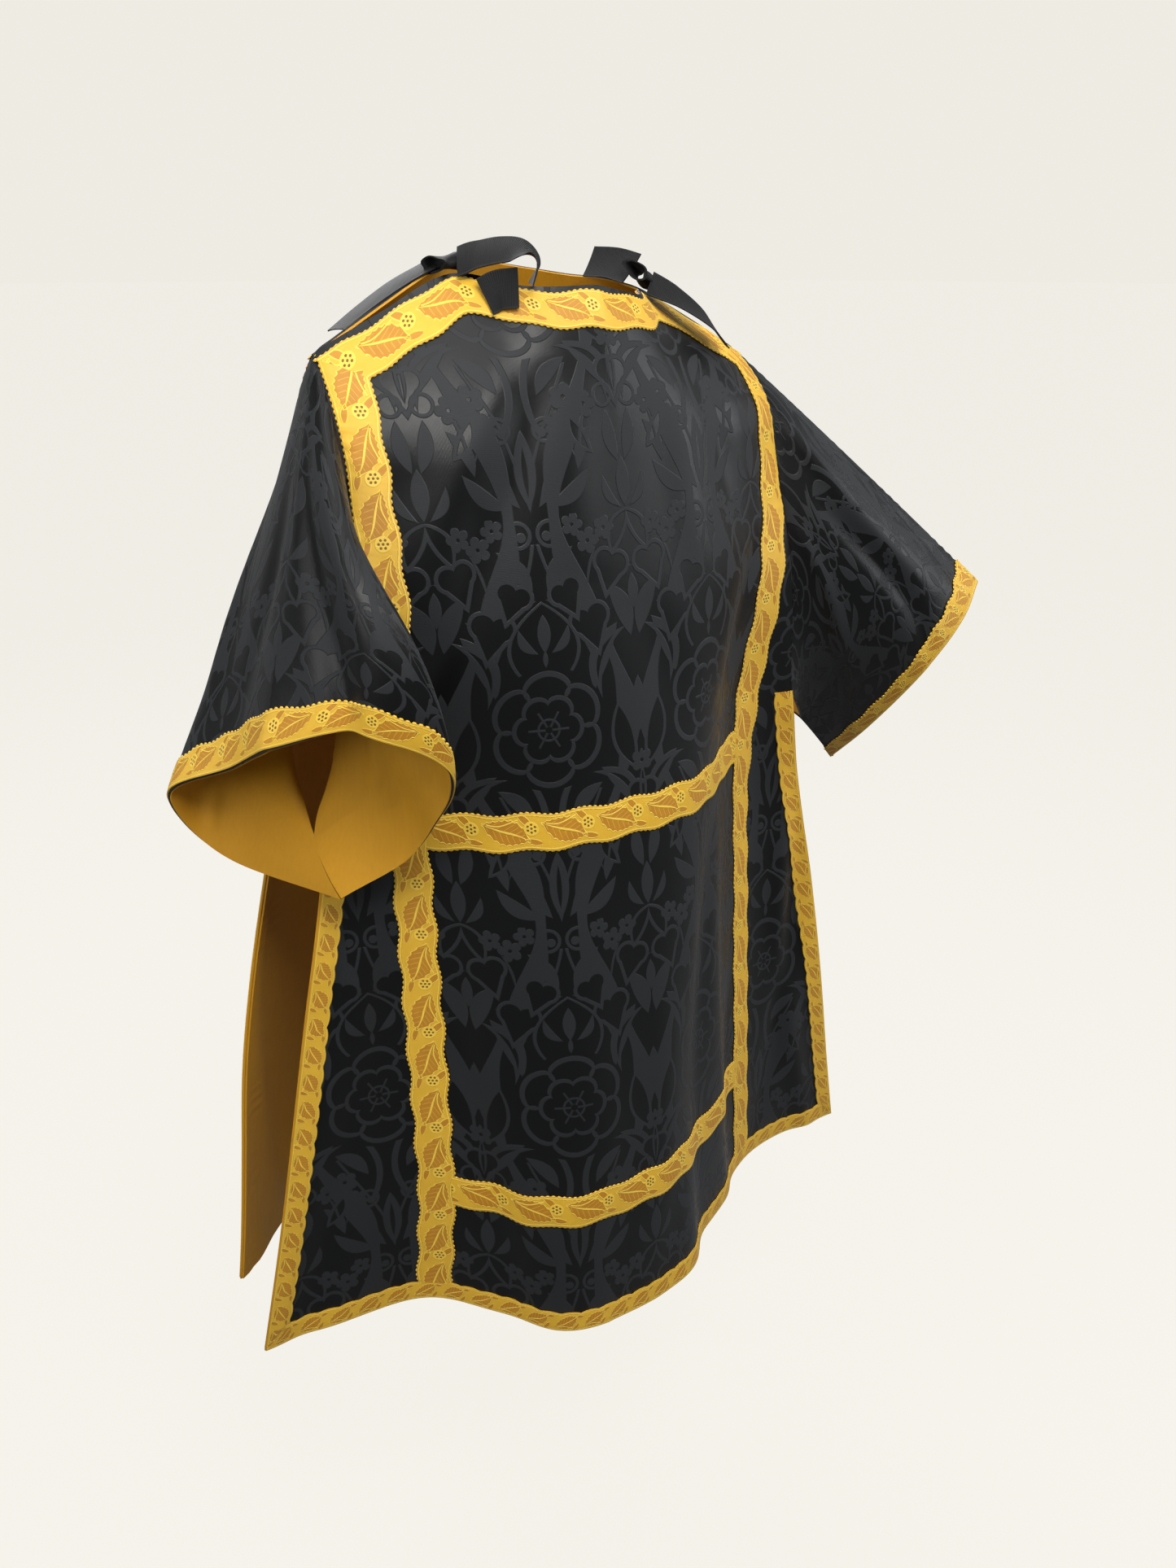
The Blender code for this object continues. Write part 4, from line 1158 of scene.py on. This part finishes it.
def galloon_figure(tree, repeat, half):
    """A running leaf with a berry: leaf, rib, veins, small leaves, berry, its dots, tendril."""
    s, t = cloth_measures(tree, LEAF_UNITS / repeat)
    t = t * (repeat / LEAF_UNITS) * (HALF_UNITS / half)
    s = s.wrap(0.0, LEAF_UNITS)
    edge = (s * 5.5).sin().abs() * 0.16
    main = leaf(t, s, 0.06, 2.3, -24, 5.0, 2.5, 0.22) - edge
    rib = leaf(t, s, 0.06, 2.3, -24, 5.0, 0.2, 0.22)
    q, p = turned(t - 0.06, s - 2.3, -24)
    veins = 0.025 - (p - q.abs() * 0.9).wrap(-0.33, 0.33).abs() * 0.6
    small = leaf(t, s, -1.02, 4.1, -48, 1.9, 0.55, 0.1).either(leaf(t, s, 1.0, 5.0, -8, 1.7, 0.5, -0.1))
    x, y = t + 0.28, s - 4.75
    far = distance(x, y)
    angle = y.angle(x).wrap(-math.pi / 6, math.pi / 6)
    dots = 0.12 - distance(far * angle.cos() - 0.4, far * angle.sin())
    tendril = 0.07 - (t + 1.1 - s.waves(LEAF_UNITS) * 0.22).abs()
    tendril = tendril.both(1.5 - (s - 2.0).abs())
    return main, rib, veins.both(main - 0.16), small, 0.72 - far, dots.either(0.12 - far), tendril


def galloon_finish(name, repeat, half, berries):
    """Woven galloon: a bright gold ground, ochre leaves and raised outlines."""
    material, tree, shader = new_finish(name, (0.74, 0.42, 0.03), 0.42, Specular_IOR_Level=0.55,
                                        Sheen_Weight=0.12, Sheen_Tint=(1.0, 0.82, 0.35, 1.0))
    main, ribs, veins, small, berry, dots, tendril = galloon_figure(tree, repeat, half)
    t = cloth_measures(tree, HALF_UNITS / half)[1]
    s = cloth_measures(tree, 1000.0)[0]
    leafy = main.either(small)
    if berries:
        leafy = leafy.both(-berry)
    leafy = leafy.drawn(0.05)
    rim = outline(main + 0.12, 0.1).either(outline(small + 0.1, 0.08)).drawn(0.05)
    selvage = outline(1.72 - t.abs(), 0.14).drawn(0.04)
    outside = (t.abs() - 1.56).drawn(0.05)
    cloudy = noise(tree, 60.0, 3.0)
    gold = blend_colours(cloudy, (0.7, 0.385, 0.018), (0.84, 0.5, 0.034))
    ochre = blend_colours(cloudy, (0.47, 0.19, 0.0045), (0.58, 0.255, 0.0075))
    bright = rim.either(ribs.drawn(0.05) * leafy).either(selvage).either(tendril.drawn(0.05))
    bright = bright.either(veins.drawn(0.05) * leafy * 0.4)
    if berries:
        bright = bright.either(berry.drawn(0.05) * 0.75)
    colour = blend_colours(bright, blend_colours(leafy, gold, ochre), (0.94, 0.64, 0.07))
    colour = blend_colours(outside * 0.6 * (1 - selvage), colour, (0.6, 0.32, 0.016))
    height = bright * 0.7 + leafy * 0.2
    if berries:
        dot = dots.drawn(0.05)
        colour = blend_colours(dot, colour, (0.2, 0.085, 0.004))
        height = height - dot * 0.6
    feed(shader, Base_Color=colour, Roughness=0.46 - bright * 0.1 + leafy * 0.06)
    raise_surface(shader, height + s.waves(0.8) * 0.1 + noise(tree, 700.0, 2.0) * 0.15, 0.0006, 0.9)
    return material


def lining_finish():
    """Mustard cotton sateen, with the fine lines of its weave and a little wear."""
    material, tree, shader = new_finish("lining", (0.56, 0.27, 0.006), 0.6, Specular_IOR_Level=0.35,
                                        Sheen_Weight=0.1, Sheen_Tint=(1.0, 0.75, 0.3, 1.0))
    u, v = cloth_measures(tree, 1000.0)
    slub = noise(tree, 60.0, 3.0, (6.0, 6.0, 0.5))
    tone = noise(tree, 7.0, 4.0) * 0.6 + slub * 0.4
    feed(shader, Base_Color=blend_colours(tone, (0.46, 0.205, 0.0042), (0.63, 0.31, 0.009)),
         Roughness=0.66 - slub * 0.12)
    weave = u.waves(0.7) * v.waves(0.7) * 0.15
    raise_surface(shader, weave + slub * 0.4 + noise(tree, 90.0, 3.0) * 0.5, 0.0005, 0.6)
    return material


def ribbon_finish():
    """Matt black grosgrain: ribs across the ribbon and a firm selvage."""
    material, tree, shader = new_finish("ribbon", (0.008, 0.008, 0.009), 0.6, Specular_IOR_Level=0.2,
                                        Sheen_Weight=0.03)
    s, t = cloth_measures(tree, 1000.0)
    ribs = s.waves(1.3) * 0.5 + 0.5
    selvage = (t.abs() - 16.6).drawn(0.4)
    grain = noise(tree, 300.0, 2.0)
    # The tone follows the ribs: painted shade in the grooves between them and a painted highlight on their
    # crests, over a random grain.
    tone = blend_colours(ribs * 0.7 + grain * 0.3, (0.0035, 0.0036, 0.004), (0.0085, 0.0087, 0.0094))
    feed(shader, Base_Color=blend_colours(selvage, tone, (0.016, 0.016, 0.018)),
         Roughness=0.7 - ribs * 0.14)
    raise_surface(shader, ribs + selvage * 0.5 + grain * 0.3, 0.0003, 0.9)
    return material


def thread_finish(name, low, high, roughness):
    """Twisted sewing thread, its tone a little uneven."""
    material, tree, shader = new_finish(name, low, roughness, Sheen_Weight=0.15)
    feed(shader, Base_Color=blend_colours(noise(tree, 500.0, 2.0), low, high))
    raise_surface(shader, noise(tree, 1800.0, 2.0), 0.0002, 0.8)
    return material


def make_finishes():
    return {
        "damask": damask_finish(),
        "galloon": galloon_finish("galloon", LEAF_REPEAT, HALF_WIDE, True),
        "narrow_galloon": galloon_finish("narrow_galloon", 0.031, NARROW_GALLOON / 2, False),
        "lining": lining_finish(),
        "ribbon": ribbon_finish(),
        "picot": thread_finish("picot_thread", (0.72, 0.42, 0.026), (0.88, 0.56, 0.05), 0.45),
        "thread": thread_finish("sewing_thread", (0.7, 0.4, 0.024), (0.86, 0.55, 0.05), 0.5),
    }


def declare(piece, slot, *nodes):
    """Puts a piece on the root body and hides the solids that it stands for.  The slot is not used."""
    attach(piece, "root")
    if nodes:
        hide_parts(*nodes)


def flat_area(piece):
    """Half of a closed shell's surface, which is the area of the cloth."""
    areas = np.empty(len(piece.data.polygons))
    piece.data.polygons.foreach_get("area", areas)
    return float(areas.sum()) / 2


def make_stage():
    """A plain pale floor, and a plain pale dome behind everything that only the camera sees."""
    place = (0.0, 0.0, FLOOR_HEIGHT)
    glow = (*BACKDROP, 1.0)
    bpy.ops.mesh.primitive_circle_add(vertices=96, radius=40.0, fill_type="NGON", location=place)
    floor = bpy.context.object
    floor.name = "floor"
    paint, tree, shader = new_finish("floor_paint", BACKDROP, 0.9, Specular_IOR_Level=0.0,
                                     Emission_Color=glow, Emission_Strength=FLOOR_GLOW)
    feed(shader, Base_Color=(FLOOR_SHADE, FLOOR_SHADE, FLOOR_SHADE, 1.0))
    bpy.ops.mesh.primitive_uv_sphere_add(segments=64, ring_count=32, radius=39.0, location=place)
    dome = bpy.context.object
    dome.name = "backdrop"
    light, tree, shader = new_finish("backdrop_paint", BACKDROP, 0.9)
    tree.nodes.clear()
    emission = feed(tree.nodes.new("ShaderNodeEmission"), Color=glow, Strength=FLOOR_GLOW)
    feed(tree.nodes.new("ShaderNodeOutputMaterial"), Surface=emission.outputs["Emission"])
    hidden = ("visible_diffuse", "visible_glossy", "visible_transmission", "visible_shadow")
    for thing, material, kinds in ((floor, paint, hidden[:2]), (dome, light, hidden)):
        thing.data.materials.append(material)
        for kind in kinds:
            setattr(thing, kind, False)


def make_light(name, place, target, size, power, colour):
    lamp = bpy.data.lights.new(name, "AREA")
    lamp.shape = "DISK"
    lamp.size = size
    lamp.energy = power
    lamp.color = colour
    light = new_piece(name, lamp)
    light.location = place
    way = np.array(target) - np.array(place)
    reach = float(np.hypot(way[0], way[1]))
    light.rotation_euler = (math.atan2(reach, -way[2]), 0.0, math.atan2(-way[0], way[1]))


def make_lights_and_camera():
    world = bpy.data.worlds.new("studio")
    world.use_nodes = True
    feed(world.node_tree.nodes["Background"], Color=(0.95, 0.97, 1.0, 1.0), Strength=0.22)
    bpy.context.scene.world = world
    bpy.context.scene.view_settings.view_transform = "Standard"
    for row in LIGHTS:
        make_light(*row)
    camera = bpy.data.cameras.new("camera")
    camera.sensor_fit = "VERTICAL"
    camera.sensor_height = 36.0
    camera.sensor_width = 27.0
    camera.lens = CAMERA_LENS
    camera.clip_end = 100.0
    view = new_piece("camera", camera)
    view.location = CAMERA_PLACE
    view.rotation_euler = (math.radians(CAMERA_TILT), 0.0, math.radians(CAMERA_TURN))
    bpy.context.scene.camera = view


def dress_panels(finish):
    for panel in PANELS:
        cloth, lining = make_panel(panel, finish)
        declare(cloth, "damask", f"{panel}_panel")
        declare(lining, "lining", f"{panel}_lining")
        for piece in (cloth, lining):
            min(flat_area(piece), 0.890 * 1.110)
        trims = {
            f"neck_galloon_{panel}": make_neck_galloon(panel, finish),
            f"upper_band_{panel}": make_band(panel, "upper", UPPER_BAND, finish),
            f"lower_band_{panel}": make_band(panel, "lower", LOWER_BAND, finish),
            f"border_galloon_{panel}": make_border(panel, finish),
        }
        for side, word in SIDES.items():
            trims[f"stripe_{word}_{panel}"] = make_stripe(panel, side, finish)
        for node, (piece, sewn) in trims.items():
            dress_trim(piece, sewn, node)


def dress_trim(piece, sewn, node):
    declare(piece, "galloon", node)
    for small in sewn:
        declare(small, "lining" if "rolled" in small.name else "galloon")
    wide = NARROW_GALLOON if "border" in node else WIDE_GALLOON
    flat_area(piece) / wide


def dress_sleeves(finish):
    for side, word in SIDES.items():
        front, back, lining = make_sleeve(side, finish)
        declare(front, "damask", f"sleeve_{word}_front")
        declare(back, "damask", f"sleeve_{word}_back")
        declare(lining, "lining", f"sleeve_{word}_lining")
        for piece in (front, back):
            min(flat_area(piece), 0.430 * 0.410)
        min(flat_area(lining), 0.860 * 0.410)
        piece, sewn = make_cuff(side, finish)
        dress_trim(piece, sewn, f"cuff_galloon_{word}")


def dress_ribbons(finish):
    for name, table in RIBBONS.items():
        piece, length = make_ribbon(name, table, finish)
        declare(piece, "ribbon", name)
    for name, (middle, run, width) in KNOTS.items():
        knot = make_knot(name, middle, run, width, finish)
        declare(knot, "ribbon")


def main():
    make_stage()
    make_lights_and_camera()
    finish = make_finishes()
    dress_panels(finish)
    dress_sleeves(finish)
    dress_ribbons(finish)
    bpy.context.view_layer.update()


main()
